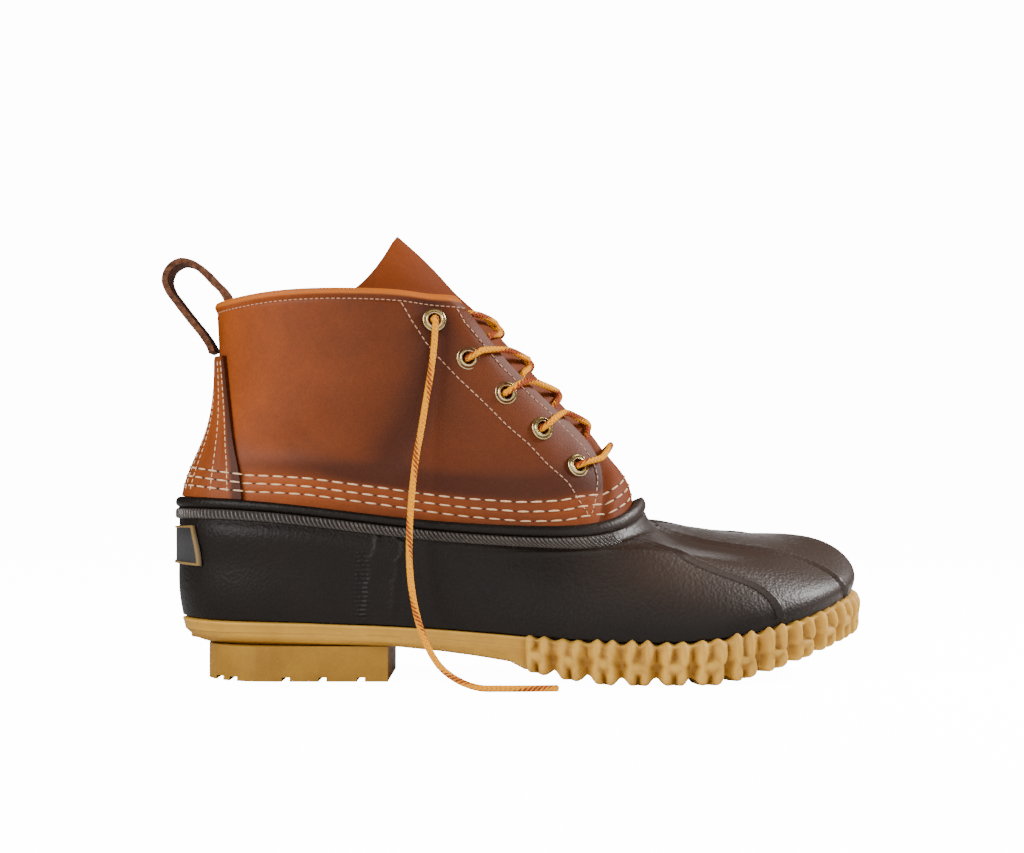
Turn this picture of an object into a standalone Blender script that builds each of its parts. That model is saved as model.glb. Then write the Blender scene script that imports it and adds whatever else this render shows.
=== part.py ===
"""Duck boot, right foot: rubber bottom on a gum sole, leather upper with five pairs of eyelets.

Heel centre on the floor is the origin, the toe points to +X, +Z is up, and +Y is the inner
(medial) side. Every surface of the upper comes from one last surface, skin(s, v, off).
"""
import math

import bpy
import bmesh
import numpy as np
from mathutils import Vector

for old in list(bpy.data.objects):
    bpy.data.objects.remove(old, do_unlink=True)

# Sizes of the boot
LENGTH = 0.3045            # rubber bottom, heel to toe
BALL_WIDTH = 0.1000        # last surface, unit of the half-width table
SHAFT_HEIGHT = 0.1680      # floor to collar at the side
HEEL_BACK = 0.0530         # heel centre back to the rubber's back
GAP = 0.0003               # between neighbouring pieces

# Walls
RUBBER_WALL = 0.0027
LEATHER_WALL = 0.0022
TONGUE_WALL = 0.0018
STRAP_WALL = 0.0026
INSOLE_THICK = 0.0030
MARGIN = 0.0140            # rubber turned in under the foot
MARGIN_THICK = 0.0020
RECESS = 0.0023            # rubber steps in behind the rand

# Topline of the rubber
BAND_PROUD = 0.0009
BEAD_PROUD = 0.0018
RIB_PROUD = 0.0013

# Sole
RAND_WALL = 0.0022
RAND_HEIGHT = 0.0080       # above the foot bed edge, rear half
CHAIN_HEIGHT = 0.0110      # the same, forefoot
CHAIN_PROUD = 0.0050
KNOB_PITCH = 0.0144
FLOOR_THICK = 0.0026
LUG_DEPTH = 0.0036
HEEL_LENGTH = 0.0828
HEEL_HALF_WIDTH = 0.0312
GROOVE_WIDTH = 0.0034
GROOVE_DEPTH = 0.0018

# Eyelets and lace
EYELET_COUNT = 5
EYELET_RADIUS = 0.0050
EYELET_BORE = 0.0026
EYELET_BARREL = 0.0030
LACE_DIAMETER = 0.0028

# Rings of the last surface, toe to heel shares of LENGTH from the rubber's back; front is the
# side shift of the toe end and rise lifts the inner side over the outer, in widths and heights.
# level: place of the ring in the lofting parameter v
RINGS = {
    #            level  back   toe    front  rise
    "feather":  (0.0,  0.021, 0.971, 0.14, 0.000),
    "wall":     (1.5,  0.010, 0.981, 0.16, 0.060),
    "shoulder": (3.0,  0.009, 0.965, 0.16, 0.280),
    "toe":      (4.2,  0.009, 0.853, 0.12, 0.180),
    "throat":   (5.2,  0.009, 0.728, 0.04, 0.180),
    "band":     (5.8,  0.009, 0.678, 0.01, 0.060),
    "topline":  (6.5,  0.010, 0.664, 0.00, 0.020),
    "ankle":    (9.0,  0.044, 0.598, 0.00, 0.000),
    "collar":   (14.0, 0.053, 0.430, 0.00, 0.000),
    "tongue":   (17.0, 0.065, 0.325, 0.00, 0.000),
}
# Half-widths in shares of BALL_WIDTH, 30 to 150 degrees round from the toe
OUTER_SIDE = {
    "feather":  (0.23, 0.46, 0.41, 0.315, 0.220),
    "wall":     (0.26, 0.49, 0.42, 0.340, 0.255),
    "shoulder": (0.21, 0.42, 0.40, 0.345, 0.255),
    "toe":      (0.22, 0.36, 0.37, 0.345, 0.255),
    "throat":   (0.26, 0.375, 0.358, 0.330, 0.235),
    "band":     (0.285, 0.36, 0.345, 0.310, 0.210),
    "topline":  (0.255, 0.34, 0.332, 0.295, 0.190),
    "ankle":    (0.21, 0.335, 0.35, 0.300, 0.170),
    "collar":   (0.25, 0.35, 0.375, 0.310, 0.170),
    "tongue":   (0.17, 0.28, 0.32, 0.280, 0.150),
}
INNER_SIDE = {
    "feather":  (0.36, 0.42, 0.31, 0.280, 0.215),
    "wall":     (0.39, 0.44, 0.34, 0.310, 0.250),
    "shoulder": (0.36, 0.41, 0.34, 0.315, 0.250),
    "toe":      (0.35, 0.36, 0.34, 0.320, 0.250),
    "throat":   (0.31, 0.36, 0.34, 0.305, 0.225),
    "band":     (0.295, 0.355, 0.33, 0.295, 0.205),
    "topline":  (0.26, 0.335, 0.32, 0.285, 0.190),
    "ankle":    (0.21, 0.33, 0.34, 0.295, 0.170),
    "collar":   (0.25, 0.345, 0.365, 0.305, 0.170),
    "tongue":   (0.17, 0.28, 0.32, 0.280, 0.150),
}
# Heights in shares of SHAFT_HEIGHT, at 0, 30, 60, 90, 120, 150 and 180 degrees
HEIGHT = {
    "feather":  (0.168, 0.128, 0.057, 0.088, 0.116, 0.119, 0.119),
    "wall":     (0.238, 0.204, 0.152, 0.167, 0.202, 0.214, 0.220),
    "shoulder": (0.302, 0.296, 0.266, 0.256, 0.286, 0.304, 0.310),
    "toe":      (0.333, 0.327, 0.330, 0.318, 0.345, 0.360, 0.363),
    "throat":   (0.352, 0.352, 0.341, 0.348, 0.381, 0.396, 0.399),
    "band":     (0.393, 0.360, 0.350, 0.371, 0.405, 0.418, 0.423),
    "topline":  (0.468, 0.412, 0.399, 0.418, 0.452, 0.466, 0.470),
    "ankle":    (0.658, 0.631, 0.607, 0.607, 0.625, 0.637, 0.643),
    "collar":   (0.985, 0.992, 1.000, 1.007, 1.003, 0.988, 0.982),
    "tongue":   (1.176, 1.137, 1.048, 1.018, 1.018, 1.018, 1.018),
}
# Degrees round from the toe where each rib runs, ring by ring (outer side negative)
RIBS = {
    #          feather wall shoulder toe  throat band topline   half width at feather, band
    "outer":  (-42.0, -41.5, -45.0, -42.5, -31.0, -25.0, -22.0, 1.0, 1.6),
    "centre": (-17.0, -16.0, -13.0, -8.0, -3.0, -1.0, 0.0, 1.3, 2.2),
    "inner":  (36.0, 36.0, 38.0, 38.0, 30.0, 25.0, 22.0, 1.0, 1.6),
}
# Degrees to the quarter's front edge at a level
EYESTAY = {5.4: 37.0, 6.5: 34.0, 7.6: 24.5, 8.6: 19.0, 10.0: 25.5, 11.5: 34.0, 14.0: 30.0}
# Half width of the backstay in degrees at a level
BACKSTAY = {6.6: 44.0, 7.3: 42.0, 8.0: 38.5, 8.7: 34.0, 9.5: 29.5, 10.5: 25.0, 11.6: 22.0}
# Half width of the tongue in degrees at a level
TONGUE = {5.7: 46.0, 7.5: 46.0, 9.0: 54.0, 12.0: 66.0, 14.0: 68.0, 17.0: 66.0}
# Eyelets from the lowest up: degrees and level
EYELETS = ((32.8, 8.15), (38.8, 9.31), (45.6, 10.40), (53.3, 11.45), (58.0, 12.69))
# Where the lace comes out under the eyestay, and where two strands cross at the middle, by level
UNDER_EDGE = (8.70, 9.85, 10.85, 12.20)
CROSSING = (8.15, 9.10, 10.40, 11.75, 13.05)
TOP_UNDER = 13.45
# Underside of the sole: share of LENGTH from the back, share of SHAFT_HEIGHT
TREAD = {0.0: 0.093, 0.311: 0.092, 0.384: 0.080, 0.430: 0.070, 0.481: 0.056, 0.503: 0.036,
         0.549: 0.017, 0.596: 0.006, 0.623: 0.0, 0.768: 0.0, 0.797: 0.012, 0.822: 0.024,
         0.865: 0.048, 0.910: 0.076, 0.963: 0.108, 0.985: 0.124}
CHAIN_START = 88.0         # degrees round from the toe
# Grooves of the heel, from its back edge in shares of HEEL_LENGTH
HEEL_GROOVES = (0.11, 0.19, 0.47, 0.66, 0.86)
# Pull loop, middle line: from the heel centre in shares of LENGTH, heights in SHAFT_HEIGHT
LOOP_ROUTE = ((-0.1265, 0.853), (-0.1300, 0.869), (-0.141, 0.900), (-0.158, 0.938),
              (-0.178, 0.985), (-0.191, 1.018), (-0.1955, 1.047), (-0.189, 1.078),
              (-0.173, 1.096), (-0.155, 1.090), (-0.138, 1.068), (-0.122, 1.038),
              (-0.1095, 1.015), (-0.1000, 0.980), (-0.0975, 0.940), (-0.0970, 0.905))
LOOP_WIDTH = 0.0190
# Hanging lace end: shares of LENGTH from the heel centre, BALL_WIDTH and SHAFT_HEIGHT
LACE_ROUTE = ((0.203, -0.405, 0.885), (0.2015, -0.415, 0.846), (0.1975, -0.425, 0.788),
              (0.191, -0.435, 0.715), (0.1845, -0.445, 0.642), (0.1783, -0.460, 0.579),
              (0.172, -0.485, 0.471), (0.1695, -0.515, 0.375), (0.1705, -0.540, 0.299),
              (0.1747, -0.565, 0.233), (0.184, -0.600, 0.163), (0.1977, -0.635, 0.102),
              (0.216, -0.670, 0.055), (0.2424, -0.710, 0.024), (0.2683, -0.735, 0.0105),
              (0.2946, -0.745, 0.0098), (0.328, -0.745, 0.0098), (0.3615, -0.735, 0.0098),
              (0.3744, -0.730, 0.0098))

RING_NAMES = list(RINGS)
LEVELS = [RINGS[name][0] for name in RING_NAMES]
TOPLINE = RINGS["topline"][0]
BAND = RINGS["band"][0]
COLLAR = RINGS["collar"][0]
TONGUE_TOP = RINGS["tongue"][0]


def spline_second(knots):
    """Matrix that turns values at the knots into natural cubic second derivatives."""
    n = len(knots)
    left = np.eye(n)
    right = np.zeros((n, n))
    for i in range(1, n - 1):
        a = knots[i] - knots[i - 1]
        b = knots[i + 1] - knots[i]
        left[i, i - 1:i + 2] = (a / 6, (a + b) / 3, b / 6)
        right[i, i - 1:i + 2] = (1 / a, -1 / a - 1 / b, 1 / b)
    return np.linalg.solve(left, right)


def ring_spline(values):
    """Second derivatives of a closed cubic through twelve values, 30 degrees apart."""
    n = len(values)
    left = np.zeros((n, n))
    right = np.zeros(n)
    for i in range(n):
        left[i, (i - 1) % n] = 1 / 6
        left[i, i] = 2 / 3
        left[i, (i + 1) % n] = 1 / 6
        right[i] = values[i - 1] - 2 * values[i] + values[(i + 1) % n]
    return np.linalg.solve(left, right)


def on_ring(values, second, s):
    """Value of the closed cubic at s degrees."""
    place = (s % 360.0) / 30.0
    i = int(place) % 12
    t = place - int(place)
    j = (i + 1) % 12
    u = 1 - t
    curve = (u ** 3 - u) / 6 * second[i] + (t ** 3 - t) / 6 * second[j]
    return u * values[i] + t * values[j] + curve


RING_CURVES = []
for name in RING_NAMES:
    inner = list(INNER_SIDE[name])
    outer = list(OUTER_SIDE[name])
    across = [RINGS[name][3]] + inner + [0.0] + [-w for w in reversed(outer)]
    up = list(HEIGHT[name]) + list(reversed(HEIGHT[name][1:6]))
    RING_CURVES.append((across, ring_spline(across), up, ring_spline(up)))
LEVEL_SECOND = spline_second(LEVELS)
SEEN = {}


def column(s):
    """Points of all rings at s degrees, with their second derivatives up the column."""
    key = round(s, 4)
    if key not in SEEN:
        rows = []
        for i, name in enumerate(RING_NAMES):
            _, back, toe, _, rise = RINGS[name]
            across, across2, up, up2 = RING_CURVES[i]
            turn = math.cos(math.radians(s))
            x = LENGTH * ((back + toe) / 2 + (toe - back) / 2 * turn) - HEEL_BACK
            y = BALL_WIDTH * on_ring(across, across2, s)
            lift = rise / 2 * math.sin(math.radians(s)) * ((1 + turn) / 2) ** 6
            z = SHAFT_HEIGHT * (on_ring(up, up2, s) + lift)
            rows.append((x, y, z))
        rows = np.array(rows)
        SEEN[key] = (rows, LEVEL_SECOND @ rows)
    return SEEN[key]


def last(s, v):
    """Point of the last surface: s degrees round from the toe, level v."""
    rows, second = column(s)
    i = 0
    while i < len(LEVELS) - 2 and v > LEVELS[i + 1]:
        i += 1
    h = LEVELS[i + 1] - LEVELS[i]
    t = (v - LEVELS[i]) / h
    u = 1 - t
    curve = (u ** 3 - u) * second[i] + (t ** 3 - t) * second[i + 1]
    return Vector(u * rows[i] + t * rows[i + 1] + curve * h * h / 6)


def facing(s, v):
    """Outward normal of the last surface."""
    along = last(s + 0.5, v) - last(s - 0.5, v)
    low = max(v - 0.03, LEVELS[0])
    rise = last(s, low + 0.06) - last(s, low)
    return along.cross(rise).normalized()


def skin(s, v, off=0.0):
    """Point of the last surface moved off outward."""
    return last(s, v) + facing(s, v) * off


def level_hold(pairs, v):
    """Straight interpolation in a small table of level and value."""
    keys = sorted(pairs)
    if v <= keys[0]:
        return pairs[keys[0]]
    for a, b in zip(keys, keys[1:]):
        if v <= b:
            return pairs[a] + (pairs[b] - pairs[a]) * (v - a) / (b - a)
    return pairs[keys[-1]]


def level_curve(pairs, v):
    """Smooth interpolation in a small table of level and value."""
    keys = sorted(pairs)
    values = np.array([pairs[key] for key in keys])
    second = spline_second(keys) @ values
    v = min(max(v, keys[0]), keys[-1])
    i = 0
    while i < len(keys) - 2 and v > keys[i + 1]:
        i += 1
    h = keys[i + 1] - keys[i]
    t = (v - keys[i]) / h
    u = 1 - t
    curve = (u ** 3 - u) * second[i] + (t ** 3 - t) * second[i + 1]
    return float(u * values[i] + t * values[i + 1] + curve * h * h / 6)


def smooth(t):
    """Soft step from 0 to 1."""
    t = min(max(t, 0.0), 1.0)
    return t * t * (3 - 2 * t)


def material(name, colour, roughness, metallic=0.0):
    """Principled material with plain values."""
    mat = bpy.data.materials.new(name)
    mat.use_nodes = True
    shader = mat.node_tree.nodes["Principled BSDF"]
    shader.inputs["Base Color"].default_value = (*colour, 1.0)
    shader.inputs["Roughness"].default_value = roughness
    shader.inputs["Metallic"].default_value = metallic
    mat.diffuse_color = (*colour, 1.0)
    return mat


def solid(name, points, faces, mat):
    """Mesh object from points and faces, turned to face outward."""
    mesh = bpy.data.meshes.new(name)
    mesh.from_pydata([tuple(p) for p in points], [], faces)
    bm = bmesh.new()
    bm.from_mesh(mesh)
    bmesh.ops.remove_doubles(bm, verts=bm.verts, dist=0.000002)
    bmesh.ops.recalc_face_normals(bm, faces=bm.faces)
    bm.to_mesh(mesh)
    bm.free()
    mesh.materials.append(mat)
    obj = bpy.data.objects.new(name, mesh)
    bpy.context.scene.collection.objects.link(obj)
    return obj


def wall(name, outer, inner, closed, mat):
    """Solid between two grids of columns; closed runs round, open gets end faces."""
    rows = len(outer[0])
    points = [p for col in outer for p in col] + [p for col in inner for p in col]
    half = len(outer) * rows
    faces = []
    count = len(outer)
    for i in range(count if closed else count - 1):
        a = i * rows
        b = (i + 1) % count * rows
        for r in range(rows - 1):
            faces.append((a + r, b + r, b + r + 1, a + r + 1))
            faces.append((half + a + r, half + a + r + 1, half + b + r + 1, half + b + r))
        faces.append((a, half + a, half + b, b))
        faces.append((a + rows - 1, b + rows - 1, half + b + rows - 1, half + a + rows - 1))
    if not closed:
        for i in (0, count - 1):
            a = i * rows
            for r in range(rows - 1):
                faces.append((a + r, a + r + 1, half + a + r + 1, half + a + r))
    return solid(name, points, faces, mat)


def cut(target, cutters):
    """Take the cutters out of the target and remove them."""
    for cutter in cutters:
        cutter.hide_render = True
        cutter.display_type = 'WIRE'
        step = target.modifiers.new("cut", 'BOOLEAN')
        step.object = cutter
        step.operation = 'DIFFERENCE'
        step.solver = 'EXACT'
    bake(target, cutters)


def bake(target, used):
    """Apply the target's modifiers and remove the objects they used."""
    graph = bpy.context.evaluated_depsgraph_get()
    result = bpy.data.meshes.new_from_object(target.evaluated_get(graph))
    target.modifiers.clear()
    target.data = result
    for obj in used:
        bpy.data.objects.remove(obj, do_unlink=True)


gum = material("gum_rubber", (0.47, 0.30, 0.10), 0.6)
brown_rubber = material("brown_rubber", (0.035, 0.024, 0.018), 0.4)
leather = material("tan_leather", (0.33, 0.10, 0.035), 0.5)
flesh = material("loop_leather", (0.22, 0.10, 0.06), 0.7)
felt = material("insole_felt", (0.30, 0.27, 0.22), 0.9)
brass = material("brass", (0.55, 0.40, 0.16), 0.35, 1.0)
lace_cord = material("lace_cord", (0.70, 0.34, 0.04), 0.7)
plate_black = material("plate_black", (0.02, 0.02, 0.02), 0.4)


# Rubber bottom
def rib_angle(rib, v):
    """Degrees round from the toe of a rib's middle at level v."""
    pairs = {LEVELS[i]: RIBS[rib][i] for i in range(7)}
    return level_hold(pairs, v)


def rib_half(rib, v):
    """Half width of a rib in degrees at level v."""
    low, high = RIBS[rib][7:9]
    return low + (high - low) * min(v / BAND, 1.0)


def guide(index, v):
    """Degrees of the column guides at level v: back, outer side, rib edges, inner side, back."""
    stops = [-180.0, -90.0]
    for rib in ("outer", "centre", "inner"):
        middle = rib_angle(rib, v)
        half = rib_half(rib, v)
        stops += [middle - half * 1.7, middle - half, middle + half, middle + half * 1.7]
    stops += [90.0, 180.0]
    return stops[index]


GUIDE_STEPS = (12, 6, 1, 1, 1, 5, 1, 1, 1, 5, 1, 1, 1, 6, 12)
SHELL_COLUMNS = []
for stop, steps in enumerate(GUIDE_STEPS):
    for step in range(steps):
        SHELL_COLUMNS.append((stop, step / steps))


def shell_angle(col, v):
    """Degrees of a shell column at level v."""
    stop, part = col
    return guide(stop, v) * (1 - part) + guide(stop + 1, v) * part


def on_rib(col):
    """True for the columns along the top of a rib."""
    stop, part = col
    return part == 0.0 and stop in (3, 4, 7, 8, 11, 12)


def rim_level(s):
    """Level of the rand's top edge."""
    pairs = {0.0: 1.30, 30.0: 1.15, 60.0: 0.95, 88.0: 0.75, 120.0: 0.62, 180.0: 0.65}
    return level_hold(pairs, abs(s))


def flat_out(s, v=0.0):
    """Level outward direction at the foot bed edge."""
    out = facing(s, v)
    out.z = 0.0
    return out.normalized()


def bed(s):
    """Edge of the foot bed."""
    return last(s, 0.0)


def bed_height(x):
    """Height of the foot bed at a distance from the heel centre."""
    _, back, toe, _, _ = RINGS["feather"]
    share = (x + HEEL_BACK) / LENGTH
    turn = min(max((share - (back + toe) / 2) / ((toe - back) / 2), -1.0), 1.0)
    return last(math.degrees(math.acos(turn)), 0.0).z


def on_bed(s, inward, drop):
    """Point at the foot bed, in from its edge and below its surface."""
    point = bed(s) - flat_out(s) * inward
    point.z = bed_height(point.x) - drop
    return point


OUTER_LEVELS = (1.5, 2.4, 3.3, 4.1, 4.8, 5.4)
outer_cols = []
inner_cols = []
band_side = 0.0012
for col in SHELL_COLUMNS:
    s0 = shell_angle(col, 0.0)
    up = Vector((0, 0, 1))
    edge = bed(s0)
    out = flat_out(s0)
    face = GAP + RUBBER_WALL
    low = face - RECESS
    rim = rim_level(s0)
    outer = [on_bed(s0, MARGIN, MARGIN_THICK), on_bed(s0, 0.002, MARGIN_THICK)]
    inner = [on_bed(s0, MARGIN, 0.0), on_bed(s0, 0.004, 0.0)]
    thin = low - RUBBER_WALL
    outer += [skin(s0, 0.1, low), skin(shell_angle(col, rim), rim, low)]
    inner += [skin(s0, 0.1, thin), skin(shell_angle(col, rim), rim, thin)]
    outer += [skin(shell_angle(col, rim + 0.06), rim + 0.06, face)]
    inner += [skin(shell_angle(col, rim + 0.3), rim + 0.3, (thin + GAP) / 2)]
    for v in OUTER_LEVELS:
        s = shell_angle(col, v)
        v = max(v, rim + 0.35)
        fade = smooth((v - 0.9) / 0.6)
        ridge = RIB_PROUD * fade if on_rib(col) else 0.0
        outer.append(skin(s, v, face + ridge))
        inner.append(skin(s, v, GAP))
    s = shell_angle(col, BAND)
    top = TOPLINE
    steps = (
        (BAND - 0.02, face), (BAND, face + BAND_PROUD), (top - 0.36, face + BAND_PROUD),
        (top - 0.33, face + 0.0002), (top - 0.25, face + BEAD_PROUD * 0.6),
        (top - 0.14, face + BEAD_PROUD), (top - 0.02, face + BEAD_PROUD * 0.5))
    inner_steps = (BAND, BAND + 0.08, top - 0.48, top - 0.36, top - 0.24, top - 0.12, top)
    for (v, off), vin in zip(steps, inner_steps):
        outer.append(skin(shell_angle(col, v), v, off))
        inner.append(skin(shell_angle(col, vin), vin, GAP))
    outer_cols.append(outer)
    inner_cols.append(inner)
wall("rubber_bottom", outer_cols, inner_cols, True, brown_rubber)


# Leather quarters
def eyestay(v):
    """Degrees to the quarter's front edge."""
    return level_curve(EYESTAY, v)


FRONT_STEPS = 7
BACK_STEPS = 12


def quarter_angle(step, v):
    """Degrees of a column counted from the outer eyestay round the back to the inner one."""
    edge = eyestay(v)
    last_step = 2 * (FRONT_STEPS + BACK_STEPS)
    near = min(step, last_step - step)
    if near < FRONT_STEPS:
        s = edge + (90.0 - edge) * near / FRONT_STEPS
    else:
        s = 90.0 + 90.0 * (near - FRONT_STEPS) / BACK_STEPS
    return -s if near == step else s


QUARTER_LEVELS = (5.75, 6.2, 6.6, 7.2, 8.0, 8.9, 10.0, 11.3, 12.6, 13.45)
outer_cols = []
inner_cols = []
for part in range(2 * (FRONT_STEPS + BACK_STEPS) + 1):
    outer = []
    inner = []
    for v in QUARTER_LEVELS:
        s = quarter_angle(part, v)
        outer.append(skin(s, v, -0.0005 * smooth((7.0 - v) / 0.6)))
        inner.append(skin(s, v, -LEATHER_WALL))
    for v, off, back in ((13.5, 0.0006, 0.0), (13.7, 0.0009, 0.0), (13.9, 0.0006, 0.0),
                         (14.0, -0.0006, 0.0006)):
        s = quarter_angle(part, v)
        outer.append(skin(s, v, off))
        inner.append(skin(s, v, -LEATHER_WALL + back))
    outer_cols.append(outer)
    inner_cols.append(inner)
leather_upper = wall("leather_upper", outer_cols, inner_cols, False, leather)


# Tongue
LACE_ROOM = LACE_DIAMETER + 2 * GAP


def tongue_off(s, v):
    """Offset of the tongue's outer face."""
    edge = eyestay(min(v, COLLAR))
    lace = smooth((abs(s) - 5.0) / (edge - 7.0)) * smooth((v - 7.1) / 0.75)
    front = smooth((edge - 1.0 - abs(s)) / 8.0) * smooth((7.9 - v) / 1.2)
    return -(LEATHER_WALL + 2 * GAP) - LACE_ROOM * lace + (LEATHER_WALL - GAP) * front


TONGUE_LEVELS = (5.9, 6.4, 7.0, 7.5, 8.0, 8.8, 9.8, 10.9, 12.0, 13.2, 14.4, 15.8, 16.9, 17.0)
TONGUE_COLUMNS = 22
outer_cols = []
inner_cols = []
for i in range(TONGUE_COLUMNS + 1):
    part = 2 * i / TONGUE_COLUMNS - 1
    outer = []
    inner = []
    for v in TONGUE_LEVELS:
        s = part * level_curve(TONGUE, v)
        off = tongue_off(s, v)
        soft = 0.0005 if v == TONGUE_TOP else 0.0
        outer.append(skin(s, v, off - soft))
        inner.append(skin(s, v, off - TONGUE_WALL + soft))
    outer_cols.append(outer)
    inner_cols.append(inner)
wall("tongue", outer_cols, inner_cols, False, leather)


# Insole
def plate(name, tops, bottoms, mat):
    """Plate between two rings; each ring runs from the toe down one side and back up the other."""
    count = len(tops)
    points = list(tops) + list(bottoms)
    faces = []
    for i in range(count):
        j = (i + 1) % count
        faces.append((i, j, count + j, count + i))
    for base, flip in ((0, False), (count, True)):
        for i in range(count // 2):
            a = base + i
            b = base + i + 1
            c = base + (count - i - 1) % count
            d = base + (count - i) % count
            loop = [a, b] if i + 1 == count // 2 else [a, b, c]
            if i > 0:
                loop.append(d)
            elif i + 1 == count // 2:
                loop.append(d)
            faces.append(tuple(loop[::-1] if flip else loop))
    return solid(name, points, faces, mat)


INSOLE_EDGE = RUBBER_WALL + RECESS - RUBBER_WALL + 0.0006
around = [i * 9.0 for i in range(40)]
plate("insole", [on_bed(s, INSOLE_EDGE + 0.0010, -INSOLE_THICK - GAP) for s in around],
      [on_bed(s, INSOLE_EDGE + 0.0020, -GAP) for s in around], felt)


# Outsole
def tread(x):
    """Height of the sole's underside at a distance from the heel centre."""
    return SHAFT_HEIGHT * level_hold(TREAD, (x + HEEL_BACK) / LENGTH)


def knob_angles():
    """Degrees of the chain's knobs from the toe, with a step every third of the pitch."""
    stops = []
    walked = 0.0
    want = KNOB_PITCH / 6
    before = last(0.0, 0.8)
    s = 0.0
    while s < CHAIN_START:
        if walked >= want:
            stops.append(s)
            want += KNOB_PITCH / 3
        s += 0.25
        point = last(-s, 0.8)
        walked += (point - before).length
        before = point
    return stops


def ground(s, hn, z):
    """Point outward from the foot bed's edge at a height."""
    point = bed(s) + flat_out(s) * hn
    point.z = z
    return point


def sole_column(s, knob, chain):
    """Rows of the outsole at s degrees, from the inner floor over the rim to the underside."""
    seat = GAP + RUBBER_WALL - RECESS + 1.4 * GAP
    rim = rim_level(s) - 0.05
    rand = seat + RAND_WALL
    drop = MARGIN_THICK + 1.3 * GAP
    rows = [on_bed(s, 0.006, drop), on_bed(s, -seat, drop)]
    rows += [skin(s, 0.1, seat), skin(s, rim * 0.55, seat), skin(s, rim, seat)]
    z = bed(s).z
    under = tread(bed(s).x)
    if chain:
        gap = LUG_DEPTH * (1 - knob)
        rows += [skin(s, rim, rand + 0.0004 + 0.0010 * knob),
                 skin(s, rim * 0.78, rand + 0.0006 + 0.6 * CHAIN_PROUD * knob),
                 skin(s, rim * 0.42, rand + 0.0010 + 0.75 * CHAIN_PROUD * knob),
                 ground(s, 0.0042 + 0.7 * CHAIN_PROUD * knob, z * 0.6 + under * 0.4 + 0.001),
                 ground(s, 0.0036 + CHAIN_PROUD * knob, under + 0.0026 + gap * 0.3),
                 ground(s, 0.0018 + 0.7 * CHAIN_PROUD * knob, under + 0.0004 + gap),
                 ground(s, -0.002, under + gap), ground(s, -0.010, under + gap)]
    else:
        tuck = smooth((abs(s) - 135.0) / 40.0)
        rows += [skin(s, rim, rand), skin(s, rim * 0.7, rand), skin(s, rim * 0.35, rand),
                 ground(s, 0.0036, z + 0.0012),
                 ground(s, 0.0028 - 0.0019 * tuck, z - 0.0012),
                 ground(s, 0.0008 - 0.0035 * tuck, under + 0.0010),
                 ground(s, -0.002 - 0.0038 * tuck, under), ground(s, -0.011, under)]
    return rows


knobs = knob_angles()
angles = [(0.0, 1.0, True)]
for i, s in enumerate(knobs):
    angles.append((s, (1.0, 0.0, 1.0)[i % 3], True))
s = knobs[-1] + 1.2
while s < 177.0:
    angles.append((s, 0.0, False))
    s += 5.0 if s < 130.0 else 6.5
side = [sole_column(s, k, c) for s, k, c in angles]
other = [sole_column(-s, k, c) for s, k, c in angles]
back = sole_column(180.0, 0.0, False)
columns = side + [back] + other[:0:-1]
count = len(columns)
rows = len(back)
points = [p for col in columns for p in col]
faces = []
for i in range(count):
    a = i * rows
    b = (i + 1) % count * rows
    for r in range(rows - 1):
        faces.append((a + r, b + r, b + r + 1, a + r + 1))
for r in (0, rows - 1):
    for i in range(count // 2):
        a = i * rows + r
        b = (i + 1) * rows + r
        c = (count - i - 1) % count * rows + r
        d = (count - i) % count * rows + r
        loop = [a, b]
        if c != b:
            loop.append(c)
        if d != a:
            loop.append(d)
        faces.append(tuple(loop))
solid("outsole", points, faces, gum)

# Heel block, seated under the sole
heel_top = min(tread(-HEEL_LENGTH / 2), tread(HEEL_LENGTH / 2)) - GAP
HEEL_BACK_IN = 0.0018
outline = [(HEEL_LENGTH / 2, -HEEL_HALF_WIDTH), (HEEL_LENGTH / 2 - 0.02, -HEEL_HALF_WIDTH)]
round_end = 0.030
for i in range(17):
    t = math.radians(-90 - i * 11.25)
    outline.append((-HEEL_LENGTH / 2 + HEEL_BACK_IN + round_end * (1 + math.cos(t)),
                    HEEL_HALF_WIDTH * math.sin(t)))
outline += [(HEEL_LENGTH / 2 - 0.02, HEEL_HALF_WIDTH), (HEEL_LENGTH / 2, HEEL_HALF_WIDTH)]
count = len(outline)
points = [(x, y, 0.0) for x, y in outline] + [(x, y, heel_top) for x, y in outline]
faces = [tuple(range(count)), tuple(range(count, 2 * count))]
faces += [(i, (i + 1) % count, count + (i + 1) % count, count + i) for i in range(count)]
heel = solid("heel", points, faces, gum)
cutters = []
for share in HEEL_GROOVES:
    x = -HEEL_LENGTH / 2 + share * HEEL_LENGTH
    bpy.ops.mesh.primitive_cube_add(size=1.0, location=(x, 0.0, 0.0))
    box = bpy.context.object
    box.scale = (GROOVE_WIDTH, 0.1, 2 * GROOVE_DEPTH)
    bpy.ops.object.transform_apply(scale=True)
    cutters.append(box)
cut(heel, cutters)


# Backstay
BACKSTAY_LEVELS = (6.62, 7.0, 7.5, 8.0, 8.6, 9.3, 10.1, 10.9, 11.6)
outer_cols = []
inner_cols = []
for i in range(13):
    part = 2 * i / 12 - 1
    outer = []
    inner = []
    for v in BACKSTAY_LEVELS:
        s = 180.0 + part * level_curve(BACKSTAY, v)
        outer.append(skin(s, v, 2 * GAP + STRAP_WALL * 0.7))
        inner.append(skin(s, v, 2 * GAP))
    outer_cols.append(outer)
    inner_cols.append(inner)
wall("backstay", outer_cols, inner_cols, False, leather)


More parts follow.
